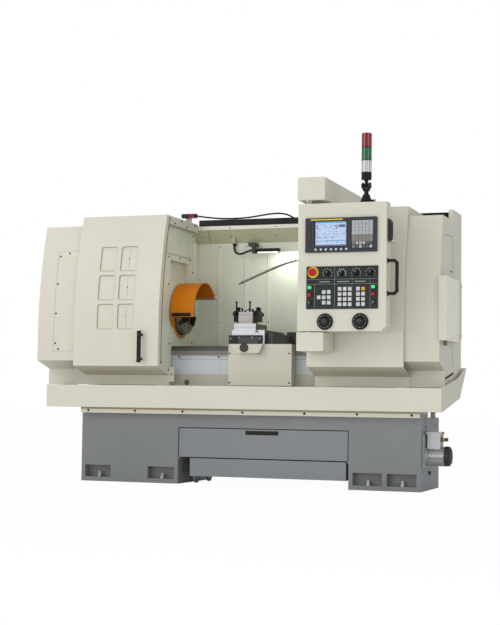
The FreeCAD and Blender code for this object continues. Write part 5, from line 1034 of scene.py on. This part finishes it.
def pump_trim():
    """The pump motor's cooling fins, the holes of its fan cover, and the lid's screws and glands."""
    kit = Kit("coolant_pump_fins", "frame", "aluminium", "alloy_cast recess dark_steel black_gloss")
    motor = (-0.17, 0.196)
    for angle in turns(24):
        if 0.9 < angle < 2.25:  # the lid stands here
            continue
        y, z = wheel(*motor, 0.053, angle)
        kit.box((1.134, y - 0.0035, z - 0.0011), (1.216, y + 0.0035, z + 0.0011), 0, 0.0,
                Matrix.Rotation(angle, 3, "X"))
    for reach, count in ((0.012, 10), (0.023, 16), (0.034, 22)):
        for angle in turns(count):
            kit.rod((1.2518, *wheel(*motor, reach, angle)), RIGHT, 0.0006, 0.0028, 1, 10)
    kit.screws(Z, 0.33, 1, 0.0036, [(x, y) for x in (1.1245, 1.1975) for y in (-0.209, -0.131)], 2, 1)
    for y in (-0.19, -0.15):
        kit.lathe((1.2, y, 0.288), RIGHT, [(0, 0.0108), (0.006, 0.0108), (0.0075, 0.0095)], 2, 6)
        kit.lathe((1.229, y, 0.288), RIGHT,
                  [(-0.008, 0.0098), (-0.001, 0.0098), (0.0015, 0.0066), (0.0015, 0.0)],
                  3, 20)


for make in (cover_screws, door_trim, edge_strips, handle_trim, wall_trim, chuck_trim, bed_trim,
             carriage_trim, tool_trim, display_trim, panel_trim, stop_trim, pendant_trim, tower_trim,
             stand_trim, box_trim, arm_trim, lamp_trim, nozzle_trim, pump_trim):
    make()
for kit in KITS:
    kit.done()


# ---- floor, light and camera

FLOOR_SIZE, FLOOR_DROP, FLOOR_WHITE = 60, 0.0005, 0.97
WORLD_COLOUR, WORLD_STRENGTH = (0.93, 0.96, 1.0, 1.0), 0.57
WHITE = (1.0, 1.0, 1.0, 1.0)


def floor_material():
    """White for the camera with only a faint shadow left of what stands on it."""
    s = Surface("studio_floor")
    shade = s.ramp(s.noise(1.2, 2.0), 0.985, 1.0)
    s.link(s.mix(shade, (0.88, 0.88, 0.88), (0.9, 0.9, 0.9)), s.shader.inputs["Base Color"])
    fill(s.shader, Roughness=0.9, Specular_IOR_Level=0.1)
    glow = s.add("ShaderNodeEmission")
    fill(glow, Color=WHITE, Strength=1.0)
    path = s.add("ShaderNodeLightPath")
    share = s.calc("MULTIPLY", path.outputs["Is Camera Ray"], FLOOR_WHITE)
    blend = s.add("ShaderNodeMixShader")
    for out, into in zip((share, s.shader.outputs[0], glow.outputs[0]), blend.inputs):
        s.link(out, into)
    out = [n for n in s.tree.nodes if n.type == "OUTPUT_MATERIAL"][0]
    s.link(blend.outputs[0], out.inputs["Surface"])
    return s.material


bpy.ops.mesh.primitive_plane_add(size=FLOOR_SIZE, location=(0, 0, -FLOOR_DROP))
floor = bpy.context.object
floor.name = "studio_floor"
floor.data.materials.append(floor_material())


def make_world():
    """A soft light from all round that the camera sees as plain white."""
    world = bpy.data.worlds.new("studio")
    bpy.context.scene.world = world
    world.use_nodes = True
    tree = world.node_tree
    tree.nodes.clear()
    soft, white, path, blend, out = (tree.nodes.new("ShaderNode" + kind) for kind in (
        "Background", "Background", "LightPath", "MixShader", "OutputWorld"))
    fill(soft, Color=WORLD_COLOUR, Strength=WORLD_STRENGTH)
    fill(white, Color=WHITE, Strength=1.0)
    for source, into in zip((path.outputs["Is Camera Ray"], soft.outputs[0], white.outputs[0]), blend.inputs):
        tree.links.new(source, into)
    tree.links.new(blend.outputs[0], out.inputs["Surface"])


make_world()

# name, place, target, size along and across (metres), power (watts), colour
LIGHTS = (
    ("key", (-3.4, -5.0, 3.3), (0.0, 0.0, 0.9), 3.2, 3.2, 80.0, (1.0, 0.985, 0.95)),
    ("fill", (5.2, -3.8, 2.2), (0.2, 0.0, 0.9), 3.0, 3.0, 44.0, (0.95, 0.98, 1.0)),
    ("top", (0.2, -0.6, 5.2), (0.0, 0.0, 0.9), 4.0, 3.0, 44.0, (1.0, 1.0, 1.0)),
    ("low", (0.4, -5.2, 0.7), (0.0, 0.0, 0.5), 5.0, 1.0, 40.0, (1.0, 1.0, 1.0)),
    ("lamp", (0.2, 0.245, 1.412), (0.2, 0.285, 1.1), 0.24, 0.05, 1.0, (0.94, 1.0, 0.92)),
)
for name, spot, target, wide, high, power, colour in LIGHTS:
    data = bpy.data.lights.new(name, "AREA")
    data.shape = "RECTANGLE"
    data.size, data.size_y = wide, high
    data.energy = power
    data.color = colour
    item = add_object(name, data)
    item.location = spot
    item.rotation_mode = "QUATERNION"
    item.rotation_quaternion = (Vector(target) - Vector(spot)).to_track_quat("-Z", "Y")
    item.visible_camera = False

LENS_PIXELS = 1375.87
PICTURE_HIGH = 625
SENSOR = 36.0
VIEW_FROM = Vector((2.7524, -7.7801, 0.4897))
YAW, PITCH, ROLL = (math.radians(a) for a in (19.52, 3.67, 0.79))

forward = Vector((-math.sin(YAW) * math.cos(PITCH), math.cos(YAW) * math.cos(PITCH), math.sin(PITCH)))
flat = Vector((math.cos(YAW), math.sin(YAW), 0.0))
raised = flat.cross(forward)
across = flat * math.cos(ROLL) + raised * math.sin(ROLL)
above = raised * math.cos(ROLL) - flat * math.sin(ROLL)

camera_data = bpy.data.cameras.new("camera")
camera_data.sensor_fit = "VERTICAL"
camera_data.sensor_width = SENSOR
camera_data.sensor_height = SENSOR
camera_data.lens = LENS_PIXELS * SENSOR / PICTURE_HIGH
camera_data.clip_start, camera_data.clip_end = 0.1, 100.0
camera = add_object("camera", camera_data)
columns = zip(across, above, -forward, VIEW_FROM)
camera.matrix_world = Matrix((*columns, (0.0, 0.0, 0.0, 1.0)))
scene = bpy.context.scene
scene.camera = camera
scene.view_settings.view_transform = "Standard"
